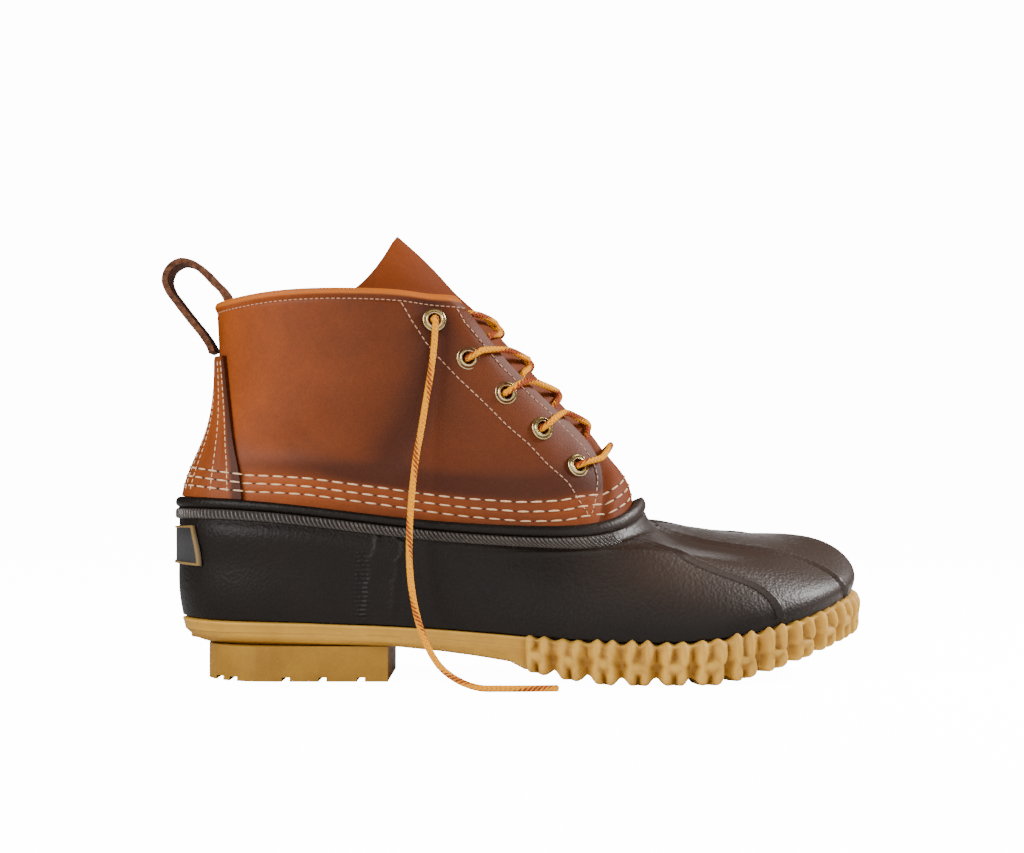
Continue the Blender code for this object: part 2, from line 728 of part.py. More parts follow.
# Pull loop
route = [Vector((x * LENGTH, 0.0, z * SHAFT_HEIGHT)) for x, z in LOOP_ROUTE]
outer_cols = []
inner_cols = []
for i, point in enumerate(route):
    ahead = route[min(i + 1, len(route) - 1)] - route[max(i - 1, 0)]
    across = Vector((-ahead.z, 0.0, ahead.x)).normalized() * (STRAP_WALL / 2)
    outer_cols.append([point + across + Vector((0, y * LOOP_WIDTH / 2, 0)) for y in (-1, 0, 1)])
    inner_cols.append([point - across + Vector((0, y * LOOP_WIDTH / 2, 0)) for y in (-1, 0, 1)])
wall("pull_loop", outer_cols, inner_cols, False, flesh)


# Heel plate with a raised border
PLATE_LEVELS = ((2.76, 0.0010), (2.80, 0.0016), (3.05, 0.0016), (3.12, 0.0010), (4.1, 0.0010),
                (4.75, 0.0010), (4.82, 0.0016), (5.10, 0.0016))
PLATE_HALF = 24.0
outer_cols = []
inner_cols = []
for part in (-1.0, -0.9, -0.87, -0.6, -0.3, 0.0, 0.3, 0.6, 0.87, 0.9, 1.0):
    s = 180.0 + part * PLATE_HALF
    edge = abs(part) >= 0.9
    base = GAP * 2 + RUBBER_WALL
    outer_cols.append([skin(s, v, base + (0.0016 if edge and 2.8 <= v <= 5.06 else raised))
                       for v, raised in PLATE_LEVELS])
    inner_cols.append([skin(s, v, base) for v, _ in PLATE_LEVELS])
wall("heel_plate", outer_cols, inner_cols, False, plate_black)


# Eyelets and the holes they sit in
def eyelet_frame(side, k):
    """Centre, outward normal and two directions in the leather at eyelet k from the bottom."""
    s, v = EYELETS[k]
    normal = facing(side * s, v)
    forward = (last(side * (s - 1.0), v) - last(side * (s + 1.0), v))
    forward = (forward - normal * forward.dot(normal)).normalized()
    return last(side * s, v), normal, forward, normal.cross(forward)


RINGS_OUT = ((EYELET_BARREL, -LEATHER_WALL + 0.0005), (EYELET_BARREL, 0.0004),
             (EYELET_RADIUS, 0.0004), (EYELET_RADIUS * 0.86, 0.0013),
             (EYELET_BORE, 0.0009), (EYELET_BORE, -LEATHER_WALL + 0.0005))
EYELET_SIDES = 12
cutters = []
for side, label in ((-1, "out"), (1, "in")):
    for k in range(EYELET_COUNT):
        centre, normal, forward, across = eyelet_frame(side, k)
        columns = []
        for i in range(EYELET_SIDES):
            turn = 2 * math.pi * i / EYELET_SIDES
            way = forward * math.cos(turn) + across * math.sin(turn)
            columns.append([centre + way * r + normal * h for r, h in RINGS_OUT])
        rows = len(RINGS_OUT)
        points = [p for col in columns for p in col]
        faces = []
        for i in range(EYELET_SIDES):
            a = i * rows
            b = (i + 1) % EYELET_SIDES * rows
            for r in range(rows):
                q = (r + 1) % rows
                faces.append((a + r, b + r, b + q, a + q))
        solid("eyelet_%s_%d" % (label, k + 1), points, faces, brass)
        points = []
        for depth in (-0.005, 0.005):
            for i in range(EYELET_SIDES):
                turn = 2 * math.pi * i / EYELET_SIDES
                way = forward * math.cos(turn) + across * math.sin(turn)
                points.append(centre + way * (EYELET_BARREL + GAP) + normal * depth)
        n = EYELET_SIDES
        faces = [tuple(range(n)), tuple(range(n, 2 * n))]
        faces += [(i, (i + 1) % n, n + (i + 1) % n, n + i) for i in range(n)]
        cutters.append(solid("hole_%s_%d" % (label, k + 1), points, faces, leather))
cut(leather_upper, cutters)


# Lacing: outside bar at the lowest eyelets, then crossed, each strand under the next edge
def at_eyelet(side, k, out, height):
    """Point over eyelet k, out toward the middle of the boot and height over the leather."""
    centre, normal, forward, across = eyelet_frame(side, k)
    tilt = 0.55 if 0 < k < EYELET_COUNT - 1 else 0.0
    way = (forward + across * (-side * tilt)).normalized()
    return centre + way * out + normal * height


def under_run(side, k):
    """Route inside the boot from eyelet k up to the next edge."""
    v = UNDER_EDGE[k]
    low = EYELETS[k]
    edge = eyestay(v)
    mid = (low[0] * 0.5 + (edge + 4.0) * 0.5, low[1] * 0.5 + v * 0.5)
    deep = -(LEATHER_WALL + GAP * 1.5 + LACE_DIAMETER / 2)
    near = (low[0] * 0.7 + mid[0] * 0.3, low[1] * 0.7 + mid[1] * 0.3)
    return [skin(side * near[0], near[1], deep), skin(side * mid[0], mid[1], deep),
            skin(side * (edge + 3.0), v, deep)]


def over_run(side, k, high, top):
    """Route over the tongue from under the edge on one side to eyelet k on the other."""
    v = UNDER_EDGE[k - 1]
    c = CROSSING[k]
    edge = eyestay(v)
    far = TOP_UNDER if top else EYELETS[k][1]
    lift = (LACE_DIAMETER + GAP) * high
    base = -LEATHER_WALL + LACE_DIAMETER / 2
    route = [skin(side * (edge - 1.5), v, -0.0038)]
    route.append(skin(side * (edge - 5.5), v * 0.75 + c * 0.25, -0.0018))
    route.append(skin(side * 6.0, v * 0.3 + c * 0.7, base + lift * 0.95))
    route.append(skin(0.0, c, base + lift))
    route.append(skin(-side * 6.0, c * 0.75 + far * 0.25, base + 0.0003 + lift * 0.95))
    if top:
        e = eyestay(far)
        route += [skin(-side * (e - 8.0), far - 0.1, -0.0008), skin(-side * (e - 2.0), far, -0.0034),
                  skin(-side * (e + 4.0), far - 0.1, -0.0040),
                  skin(-side * (EYELETS[k][0] - 7.0), far - 0.45, -0.0040)]
    else:
        e = eyestay(far)
        route += [skin(-side * (e - 5.0), c * 0.4 + (far + 0.3) * 0.6, 0.0014 + lift * 0.2),
                  skin(-side * (e + 1.5), far + 0.28, 0.0021)]
    return route


def into(side, k):
    """Route from outside, down through eyelet k."""
    return [at_eyelet(side, k, 0.0062, 0.0031), at_eyelet(side, k, 0.0030, 0.0034),
            at_eyelet(side, k, 0.0006, 0.0020), at_eyelet(side, k, -0.0003, -0.0004),
            at_eyelet(side, k, 0.0, -0.0030)]


def leg(side):
    """Route from the lowest eyelet on one side to the top."""
    route = into(side, 0)
    for k in range(1, EYELET_COUNT):
        route += under_run(side, k - 1)
        top = k == EYELET_COUNT - 1
        route += over_run(side, k, 1.0 if side > 0 else 0.0, top)
        side = -side
        if not top:
            route += into(side, k)
    route += [at_eyelet(side, EYELET_COUNT - 1, 0.0010, -0.0034),
              at_eyelet(side, EYELET_COUNT - 1, 0.0, -0.0018)]
    return route


def rounded(route, per_step):
    """Smooth curve through the route's points."""
    curve = []
    for i in range(len(route) - 1):
        p1 = route[i]
        p2 = route[i + 1]
        p0 = route[i - 1] if i else p1 * 2 - p2
        p3 = route[i + 2] if i + 2 < len(route) else p2 * 2 - p1
        d0 = max((p1 - p0).length ** 0.5, 1e-6)
        d1 = max((p2 - p1).length ** 0.5, 1e-6)
        d2 = max((p3 - p2).length ** 0.5, 1e-6)
        m1 = (p2 - p1) - (p2 - p0) * (d1 / (d0 + d1)) + (p1 - p0) * (d1 / d0)
        m2 = (p2 - p1) - (p3 - p1) * (d1 / (d1 + d2)) + (p3 - p2) * (d1 / d2)
        for j in range(per_step):
            t = j / per_step
            a = 2 * t ** 3 - 3 * t ** 2 + 1
            b = t ** 3 - 2 * t ** 2 + t
            c = -2 * t ** 3 + 3 * t ** 2
            d = t ** 3 - t ** 2
            curve.append(p1 * a + m1 * b + p2 * c + m2 * d)
    curve.append(route[-1].copy())
    return curve


def tube(name, curve, radius, sides, mat):
    """Round cord along a curve, closed at both ends."""
    points = []
    frame = None
    for i, p in enumerate(curve):
        ahead = curve[min(i + 1, len(curve) - 1)] - curve[max(i - 1, 0)]
        ahead.normalize()
        if frame is None:
            frame = ahead.orthogonal().normalized()
        frame = (frame - ahead * frame.dot(ahead)).normalized()
        across = ahead.cross(frame)
        for j in range(sides):
            turn = 2 * math.pi * j / sides
            points.append(p + (frame * math.cos(turn) + across * math.sin(turn)) * radius)
    faces = [tuple(range(sides)), tuple(range(len(points) - sides, len(points)))]
    for i in range(len(curve) - 1):
        for j in range(sides):
            a = i * sides + j
            b = i * sides + (j + 1) % sides
            faces.append((a, b, b + sides, a + sides))
    return solid(name, points, faces, mat)


bar = [at_eyelet(1, 0, 0.0110, 0.0027), skin(10.0, CROSSING[0] - 0.02, 0.0016),
       skin(0.0, CROSSING[0], 0.0012),
       skin(-10.0, CROSSING[0] - 0.02, 0.0016), at_eyelet(-1, 0, 0.0110, 0.0027)]
lacing_route = leg(1)[::-1] + bar + leg(-1)
tube("lacing", rounded(lacing_route, 1), LACE_DIAMETER / 2, 6, lace_cord)

# Free end of the lace
start = [at_eyelet(-1, 4, 0.0, -0.0018 + GAP * 2), at_eyelet(-1, 4, -0.0003, 0.0012),
         at_eyelet(-1, 4, 0.0000, 0.0034)]
hang = [Vector((x * LENGTH, y * BALL_WIDTH, z * SHAFT_HEIGHT)) for x, y, z in LACE_ROUTE]
path = rounded(start + hang, 2)
curve = bpy.data.curves.new("lace_end", 'CURVE')
curve.dimensions = '3D'
curve.bevel_depth = LACE_DIAMETER / 2
curve.bevel_resolution = 2
curve.use_fill_caps = True
spline = curve.splines.new('POLY')
spline.points.add(len(path) - 1)
for point, place in zip(spline.points, path):
    point.co = (*place, 1.0)
curve.materials.append(lace_cord)
lace_end = bpy.data.objects.new("lace_end", curve)
bpy.context.scene.collection.objects.link(lace_end)
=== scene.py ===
"""Duck boot, right foot, dressed over its CAD frame.

Rubber bottom on a gum sole with a knobbed chain round the forefoot, tan leather quarters and
tongue, backstay and pull loop, five pairs of eyelets and one braided lace.
"""
import math

import bpy
import numpy as np
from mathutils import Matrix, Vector


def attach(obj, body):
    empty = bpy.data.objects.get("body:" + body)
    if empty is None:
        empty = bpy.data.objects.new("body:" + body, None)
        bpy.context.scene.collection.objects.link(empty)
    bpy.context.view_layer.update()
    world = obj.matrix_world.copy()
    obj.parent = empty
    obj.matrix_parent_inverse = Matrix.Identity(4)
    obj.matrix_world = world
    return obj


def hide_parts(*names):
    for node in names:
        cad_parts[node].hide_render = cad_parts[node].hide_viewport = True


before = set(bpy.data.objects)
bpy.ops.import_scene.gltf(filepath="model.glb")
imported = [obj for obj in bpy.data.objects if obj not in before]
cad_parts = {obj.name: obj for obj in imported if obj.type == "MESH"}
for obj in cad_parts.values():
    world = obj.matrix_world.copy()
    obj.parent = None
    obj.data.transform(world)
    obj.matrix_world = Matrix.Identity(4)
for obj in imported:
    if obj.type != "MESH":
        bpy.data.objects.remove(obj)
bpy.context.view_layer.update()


# Studio
# A white paper floor and white surroundings. A large soft light stands past the heel on the
# camera's side and a smaller one past the toe, with a faint one behind the toe and a wide one
# beside the camera. Nothing here is part of the boot.
PAPER_GLOW = 14.0          # how bright the paper and the air look, to the camera alone
AIR_LIGHT = 0.13           # how much light the air gives the boot
FLOOR_SIZE = 8.0


def wake(obj):
    """Select one object alone and make it the active one."""
    bpy.ops.object.select_all(action='DESELECT')
    obj.select_set(True)
    bpy.context.view_layer.objects.active = obj


def finish_of(name, colour, roughness, metallic=0.0):
    """Principled material with plain values, and its node tree and shader."""
    mat = bpy.data.materials.new(name)
    mat.use_nodes = True
    shader = mat.node_tree.nodes["Principled BSDF"]
    shader.inputs["Base Color"].default_value = (*colour, 1.0)
    shader.inputs["Roughness"].default_value = roughness
    shader.inputs["Metallic"].default_value = metallic
    return mat, mat.node_tree, shader


bpy.ops.object.select_all(action='DESELECT')
bpy.ops.mesh.primitive_plane_add(size=FLOOR_SIZE, location=(0.0, 0.0, 0.0))
floor = bpy.context.object
floor.name = "studio_floor"
floor_mat, tree, shader = finish_of("white_paper", (0.92, 0.92, 0.92), 0.9)
shader.inputs["Emission Color"].default_value = (1.0, 1.0, 1.0, 1.0)
seen = tree.nodes.new('ShaderNodeLightPath')
glow = tree.nodes.new('ShaderNodeMapRange')
glow.inputs["To Min"].default_value = 0.0
glow.inputs["To Max"].default_value = PAPER_GLOW
tree.links.new(seen.outputs["Is Camera Ray"], glow.inputs["Value"])
tree.links.new(glow.outputs["Result"], shader.inputs["Emission Strength"])
floor.data.materials.append(floor_mat)

world = bpy.data.worlds.new("studio_air")
world.use_nodes = True
air = world.node_tree.nodes["Background"]
air.inputs["Color"].default_value = (1.0, 1.0, 1.0, 1.0)
seen = world.node_tree.nodes.new('ShaderNodeLightPath')
bright = world.node_tree.nodes.new('ShaderNodeMapRange')
bright.inputs["To Min"].default_value = AIR_LIGHT
bright.inputs["To Max"].default_value = PAPER_GLOW
world.node_tree.links.new(seen.outputs["Is Camera Ray"], bright.inputs["Value"])
world.node_tree.links.new(bright.outputs["Result"], air.inputs["Strength"])
bpy.context.scene.world = world

for label, place, aim, size, power in (
        ("light_over_heel", (-0.75, -0.75, 0.62), (0.02, 0.0, 0.09), 0.7, 19.0),
        ("light_behind_toe", (0.30, 0.80, 0.27), (0.18, 0.0, 0.06), 0.14, 0.3),
        ("light_off_toe", (0.88, 0.04, 0.60), (0.22, 0.0, 0.04), 0.26, 16.0),
        ("light_by_camera", (0.45, -1.30, 0.40), (0.12, 0.0, 0.06), 0.9, 8.0)):
    data = bpy.data.lights.new(label, 'AREA')
    data.size = size
    data.energy = power
    lamp = bpy.data.objects.new(label, data)
    bpy.context.scene.collection.objects.link(lamp)
    lamp.location = place
    lamp.rotation_euler = (Vector(aim) - Vector(place)).to_track_quat('-Z', 'Y').to_euler()

camera_data = bpy.data.cameras.new("photo_camera")
camera_data.lens = 70.875
camera_data.sensor_width = 36.0
camera = bpy.data.objects.new("photo_camera", camera_data)
camera.location = (0.0948, -0.9, 0.0876)
camera.rotation_euler = (math.radians(91.463), 0.0, 0.0)
bpy.context.scene.collection.objects.link(camera)
bpy.context.scene.camera = camera


# Rubber bottom
# One moulded shell of brown rubber: a wall in from the sole's rand, three raised ribs over the
# toe, a fine ribbed band and a round bead at the topline. A lapped joint with a patch of short ribs
# stands on the outer side.
LENGTH = 0.3045            # rubber bottom, heel to toe
BALL_WIDTH = 0.1000        # width of the last at the ball, unit of the half-width tables
SHAFT_HEIGHT = 0.1680      # floor to collar at the side
HEEL_BACK = 0.0530         # heel centre back to the rubber's back
GAP = 0.0003               # between neighbouring pieces
RUBBER_WALL = 0.0027
RECESS = 0.0023            # the rubber steps in behind the rand
BAND_PROUD = 0.0009
BEAD_PROUD = 0.0018
RIB_PROUD = 0.0017         # the three ribs over the toe
RIB_HALF = 0.0019
BAND = 5.64                # level of the ribbed band's lower edge
BAND_END = 6.11            # and of its upper edge
BEAD = 6.33                # level of the bead's middle
INSTEP_FULL = 0.0036       # how much fuller the instep is below the band
SIDE_RIB_X = 0.0305        # middle of the patch of short ribs beside the joint
SIDE_RIB_PITCH = 0.0019
RUBBER_COLUMNS = 620

# Rings of the boot's outer skin, as shares of LENGTH from the rubber's back; v is the level
RINGS = {
    #            v     back   toe    front  rise
    "feather":  (0.0,  0.021, 0.971, 0.14, 0.000),
    "wall":     (1.5,  0.010, 0.981, 0.16, 0.060),
    "shoulder": (3.0,  0.009, 0.965, 0.16, 0.280),
    "toe":      (4.2,  0.009, 0.853, 0.12, 0.180),
    "throat":   (5.2,  0.009, 0.728, 0.04, 0.180),
    "band":     (5.8,  0.009, 0.678, 0.01, 0.060),
    "topline":  (6.5,  0.010, 0.664, 0.00, 0.020),
    "ankle":    (9.0,  0.044, 0.598, 0.00, 0.000),
    "collar":   (14.0, 0.053, 0.430, 0.00, 0.000),
    "tongue":   (17.0, 0.065, 0.325, 0.00, 0.000),
}
# Half-widths of the rings in shares of BALL_WIDTH, 30 to 150 degrees round from the toe
OUTER_SIDE = {
    "feather":  (0.23, 0.46, 0.41, 0.315, 0.220),
    "wall":     (0.26, 0.49, 0.42, 0.340, 0.255),
    "shoulder": (0.21, 0.42, 0.40, 0.345, 0.255),
    "toe":      (0.22, 0.36, 0.37, 0.345, 0.255),
    "throat":   (0.26, 0.375, 0.358, 0.330, 0.235),
    "band":     (0.285, 0.36, 0.345, 0.310, 0.210),
    "topline":  (0.255, 0.34, 0.332, 0.295, 0.190),
    "ankle":    (0.21, 0.335, 0.35, 0.300, 0.170),
    "collar":   (0.25, 0.35, 0.375, 0.310, 0.170),
    "tongue":   (0.17, 0.28, 0.32, 0.280, 0.150),
}
INNER_SIDE = {
    "feather":  (0.36, 0.42, 0.31, 0.280, 0.215),
    "wall":     (0.39, 0.44, 0.34, 0.310, 0.250),
    "shoulder": (0.36, 0.41, 0.34, 0.315, 0.250),
    "toe":      (0.35, 0.36, 0.34, 0.320, 0.250),
    "throat":   (0.31, 0.36, 0.34, 0.305, 0.225),
    "band":     (0.295, 0.355, 0.33, 0.295, 0.205),
    "topline":  (0.26, 0.335, 0.32, 0.285, 0.190),
    "ankle":    (0.21, 0.33, 0.34, 0.295, 0.170),
    "collar":   (0.25, 0.345, 0.365, 0.305, 0.170),
    "tongue":   (0.17, 0.28, 0.32, 0.280, 0.150),
}
# Heights in shares of SHAFT_HEIGHT, at 0, 30, 60, 90, 120, 150 and 180 degrees
HEIGHT = {
    "feather":  (0.168, 0.128, 0.057, 0.088, 0.116, 0.119, 0.119),
    "wall":     (0.238, 0.204, 0.152, 0.167, 0.202, 0.214, 0.220),
    "shoulder": (0.302, 0.296, 0.266, 0.256, 0.286, 0.304, 0.310),
    "toe":      (0.333, 0.327, 0.330, 0.318, 0.345, 0.360, 0.363),
    "throat":   (0.352, 0.352, 0.341, 0.348, 0.381, 0.396, 0.399),
    "band":     (0.393, 0.360, 0.350, 0.371, 0.405, 0.418, 0.423),
    "topline":  (0.468, 0.412, 0.399, 0.418, 0.452, 0.466, 0.470),
    "ankle":    (0.658, 0.631, 0.607, 0.607, 0.625, 0.637, 0.643),
    "collar":   (0.985, 0.992, 1.000, 1.007, 1.003, 0.988, 0.982),
    "tongue":   (1.176, 1.137, 1.048, 1.018, 1.018, 1.018, 1.018),
}
LEVELS = np.array([RINGS[name][0] for name in RINGS])
# Level and degrees round from the toe along each rib, from the rand to the band; the outer side's
# degrees are negative
RIBS = {
    "outer": ((0.6, -41.0), (1.7, -42.0), (2.3, -44.0), (3.0, -46.0), (3.5, -49.5), (4.0, -49.5),
              (4.6, -38.5), (5.3, -27.5), (5.85, -25.0)),
    "centre": ((0.6, -15.0), (1.45, -17.0), (2.35, -21.0), (3.0, -19.5), (3.5, -16.0),
               (4.3, -11.0), (4.75, -6.0), (5.15, 0.5), (5.85, 3.0)),
    "inner": ((0.6, 36.0), (1.7, 36.5), (3.0, 38.0), (4.2, 38.0), (5.2, 30.0), (5.85, 25.0)),
}
# Lapped joint on the outer side: level and degrees of its two edges
JOINT_REAR = ((1.2, -116.1), (2.5, -115.6), (3.7, -112.5), (5.5, -99.4))
JOINT_FRONT = ((1.1, -111.3), (2.6, -110.9), (3.7, -107.5), (5.3, -94.8))


def spline_second(knots):
    """Matrix that turns values at the knots into natural cubic second derivatives."""
    n = len(knots)
    left = np.eye(n)
    right = np.zeros((n, n))
    for i in range(1, n - 1):
        a = knots[i] - knots[i - 1]
        b = knots[i + 1] - knots[i]
        left[i, i - 1:i + 2] = (a / 6, (a + b) / 3, b / 6)
        right[i, i - 1:i + 2] = (1 / a, -1 / a - 1 / b, 1 / b)
    return np.linalg.solve(left, right)


def level_curve(pairs, v):
    """Smooth curve through a small table of level and value."""
    keys = np.array(sorted(pairs), float)
    values = np.array([pairs[key] for key in sorted(pairs)])
    second = spline_second(keys) @ values
    v = np.clip(v, keys[0], keys[-1])
    i = np.clip(np.searchsorted(keys, v) - 1, 0, len(keys) - 2)
    h = keys[i + 1] - keys[i]
    t = (v - keys[i]) / h
    u = 1 - t
    curve = (u ** 3 - u) * second[i] + (t ** 3 - t) * second[i + 1]
    return u * values[i] + t * values[i + 1] + curve * h * h / 6


def round_ring(values, s):
    """Closed cubic through twelve values, 30 degrees apart, at s degrees."""
    values = np.array(values)
    left = np.zeros((12, 12))
    for i in range(12):
        left[i, (i - 1) % 12] = 1 / 6
        left[i, i] = 2 / 3
        left[i, (i + 1) % 12] = 1 / 6
    second = np.linalg.solve(left, np.roll(values, 1) - 2 * values + np.roll(values, -1))
    place = np.mod(s, 360.0) / 30.0
    i = place.astype(int) % 12
    t = place - np.floor(place)
    j = (i + 1) % 12
    u = 1 - t
    return (u * values[i] + t * values[j]
            + (u ** 3 - u) / 6 * second[i] + (t ** 3 - t) / 6 * second[j])


LEVEL_SECOND = spline_second(LEVELS)


def last(s, v):
    """Points of the boot's outer skin: s degrees round from the toe, level v."""
    s, v = np.broadcast_arrays(np.asarray(s, float), np.asarray(v, float))
    shape = s.shape
    s = s.ravel()
    v = v.ravel()
    turn = np.cos(np.radians(s))
    rows = []
    for name in RINGS:
        _, back, toe, front, rise = RINGS[name]
        across = [front] + list(INNER_SIDE[name]) + [0.0] + [-w for w in OUTER_SIDE[name][::-1]]
        up = list(HEIGHT[name]) + list(HEIGHT[name][5:0:-1])
        x = LENGTH * ((back + toe) / 2 + (toe - back) / 2 * turn) - HEEL_BACK
        y = BALL_WIDTH * round_ring(across, s)
        lift = rise / 2 * np.sin(np.radians(s)) * ((1 + turn) / 2) ** 6
        z = SHAFT_HEIGHT * (round_ring(up, s) + lift)
        rows.append(np.stack((x, y, z), -1))
    rows = np.array(rows)
    second = np.einsum('ij,jnk->ink', LEVEL_SECOND, rows)
    i = np.clip(np.searchsorted(LEVELS, v) - 1, 0, len(LEVELS) - 2)
    h = (LEVELS[i + 1] - LEVELS[i])[:, None]
    t = (v[:, None] - LEVELS[i][:, None]) / h
    u = 1 - t
    n = np.arange(len(s))
    curve = (u ** 3 - u) * second[i, n] + (t ** 3 - t) * second[i + 1, n]
    return (u * rows[i, n] + t * rows[i + 1, n] + curve * h * h / 6).reshape(shape + (3,))


def unit(vectors):
    """Vectors made one long."""
    return vectors / np.maximum(np.linalg.norm(vectors, axis=-1, keepdims=True), 1e-9)


def facing(s, v):
    """Outward normals of the skin."""
    s, v = np.broadcast_arrays(np.asarray(s, float), np.asarray(v, float))
    along = last(s + 0.5, v) - last(s - 0.5, v)
    low = np.maximum(v - 0.03, 0.0)
    return unit(np.cross(along, last(s, low + 0.06) - last(s, low)))


def skin(s, v, off=0.0):
    """Points of the skin moved off outward."""
    return last(s, v) + facing(s, v) * np.asarray(off, float)[..., None]


def smooth(t):
    """Soft step from 0 to 1."""
    t = np.clip(t, 0.0, 1.0)
    return t * t * (3 - 2 * t)


def swell(t):
    """Bell of height 1 and half width 1."""
    return np.exp(-0.7 * np.square(t))


def points_of(obj):
    """Points of a mesh as an array."""
    flat = np.empty(len(obj.data.vertices) * 3)
    obj.data.vertices.foreach_get("co", flat)
    return flat.reshape(-1, 3)


def laid_sheet(name, columns, rows, place):
    """Grid primitive whose points are laid by place(u, w); its UV map keeps the two shares."""
    bpy.ops.object.select_all(action='DESELECT')
    bpy.ops.mesh.primitive_grid_add(x_subdivisions=columns, y_subdivisions=rows, size=2.0,
                                    calc_uvs=True, location=(0.0, 0.0, 0.0))
    obj = bpy.context.object
    obj.name = name
    obj.data.name = name
    flat = points_of(obj)
    points = place((flat[:, 0] + 1) / 2, (flat[:, 1] + 1) / 2)
    obj.data.vertices.foreach_set("co", np.ascontiguousarray(points, float).ravel())
    obj.data.update()
    return obj


def mark(obj, name, values):
    """Keep one number for each point of the mesh, for the material to read."""
    layer = obj.data.attributes.new(name, 'FLOAT', 'POINT')
    layer.data.foreach_set("value", np.asarray(values, float))


def weld(obj, distance=0.000004):
    """Close the seams and turn every face outward."""
    wake(obj)
    bpy.ops.object.mode_set(mode='EDIT')
    bpy.ops.mesh.select_all(action='SELECT')
    bpy.ops.mesh.remove_doubles(threshold=distance)
    bpy.ops.mesh.normals_make_consistent(inside=False)
    bpy.ops.object.mode_set(mode='OBJECT')


def thicken(obj, depth):
    """Give a sheet its real thickness inward."""
    wake(obj)
    step = obj.modifiers.new("wall", 'SOLIDIFY')
    step.thickness = depth
    step.offset = -1.0
    bpy.ops.object.modifier_apply(modifier=step.name)


def dress(obj, mat, smooth_angle=40.0):
    """Give the finished piece its material and smooth shading."""
    obj.data.materials.clear()
    obj.data.materials.append(mat)
    wake(obj)
    bpy.ops.object.shade_smooth_by_angle(angle=math.radians(smooth_angle))
    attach(obj, "root")
    return obj


def feed(tree, value, socket):
    """Give a socket a plain value, or link it to another socket."""
    if isinstance(value, bpy.types.NodeSocket):
        tree.links.new(value, socket)
    else:
        socket.default_value = value


def add_node(tree, kind, **inputs):
    """Shader node with some of its inputs fed, to the right of the nodes before it."""
    made = tree.nodes.new(kind)
    made.location = (200.0 * len(tree.nodes) - 1600.0, 0.0)
    for key, value in inputs.items():
        feed(tree, value, made.inputs[key.replace("_", " ")])
    return made


def read_mark(tree, name):
    """Value that mark kept for each point."""
    made = add_node(tree, 'ShaderNodeAttribute')
    made.attribute_name = name
    return made.outputs["Fac"]


def worked(tree, operation, *values):
    """Math node's result for plain values or sockets."""
    made = add_node(tree, 'ShaderNodeMath')
    made.operation = operation
    for value, socket in zip(values, made.inputs):
        feed(tree, value, socket)
    return made.outputs["Value"]


def ranged(tree, value, low, high, bottom=0.0, top=1.0):
    """Value stretched from low and high to bottom and top, and held between them."""
    made = add_node(tree, 'ShaderNodeMapRange', Value=value, From_Min=low, From_Max=high,
                    To_Min=bottom, To_Max=top)
    return made.outputs["Result"]


def mixed(tree, share, first, second, blend='MIX'):
    """Colour between the first and the second, or their product, each plain or a socket."""
    made = add_node(tree, 'ShaderNodeMix')
    made.data_type = 'RGBA'
    made.blend_type = blend
    for value, socket in ((share, made.inputs[0]), (first, made.inputs[6]),
                          (second, made.inputs[7])):
        feed(tree, value, socket)
    return made.outputs[2]


def relief(tree, shader, height, strength, distance, under=None):
    """Bump that feeds the shader's normal, laid over another bump if there is one."""
    made = add_node(tree, 'ShaderNodeBump', Height=height, Strength=strength, Distance=distance)
    if under is not None:
        tree.links.new(under, made.inputs["Normal"])
    tree.links.new(made.outputs["Normal"], shader.inputs["Normal"])
    return made


def new_group(name, takes, gives):
    """Node group with named sockets of kinds Color, Float or Vector, and its two end nodes."""
    group = bpy.data.node_groups.new(name, 'ShaderNodeTree')
    for label, kind in takes:
        group.interface.new_socket(name=label, in_out='INPUT', socket_type='NodeSocket' + kind)
    for label, kind in gives:
        group.interface.new_socket(name=label, in_out='OUTPUT', socket_type='NodeSocket' + kind)
    return group, group.nodes.new('NodeGroupInput').outputs, group.nodes.new('NodeGroupOutput').inputs


def placed_group(tree, group, **values):
    """Outputs of a group that is placed in a material with the material's own values."""
    made = add_node(tree, 'ShaderNodeGroup')
    made.node_tree = group
    for label, value in values.items():
        feed(tree, value, made.inputs[label])
    return made.outputs


def near_line(points, line):
    """Distance of each point from a line of points."""
    best = np.full(len(points), 9.0)
    for a, b in zip(line, line[1:]):
        ab = b - a
        t = np.clip((points - a) @ ab / (ab @ ab), 0, 1)
        best = np.minimum(best, np.linalg.norm(points - a - t[:, None] * ab, axis=1))
    return best


def rib_line(rib):
    """Rib's middle line on the skin, its corners eased."""
    v = np.linspace(0.6, 5.85, 64)
    s = np.interp(v, [p[0] for p in RIBS[rib]], [p[1] for p in RIBS[rib]])
    eased = np.convolve(np.pad(s, 4, 'edge'), np.hanning(11)[1:-1] / np.hanning(11).sum(), 'valid')
    return last(eased, v)


RIB_LINES = [rib_line(rib) for rib in RIBS]


def rim_level(s):
    """Level of the rand's top edge."""
    return np.interp(np.abs(s), (0.0, 30.0, 60.0, 88.0, 120.0, 180.0),
                     (1.30, 1.15, 0.95, 0.75, 0.62, 0.65))


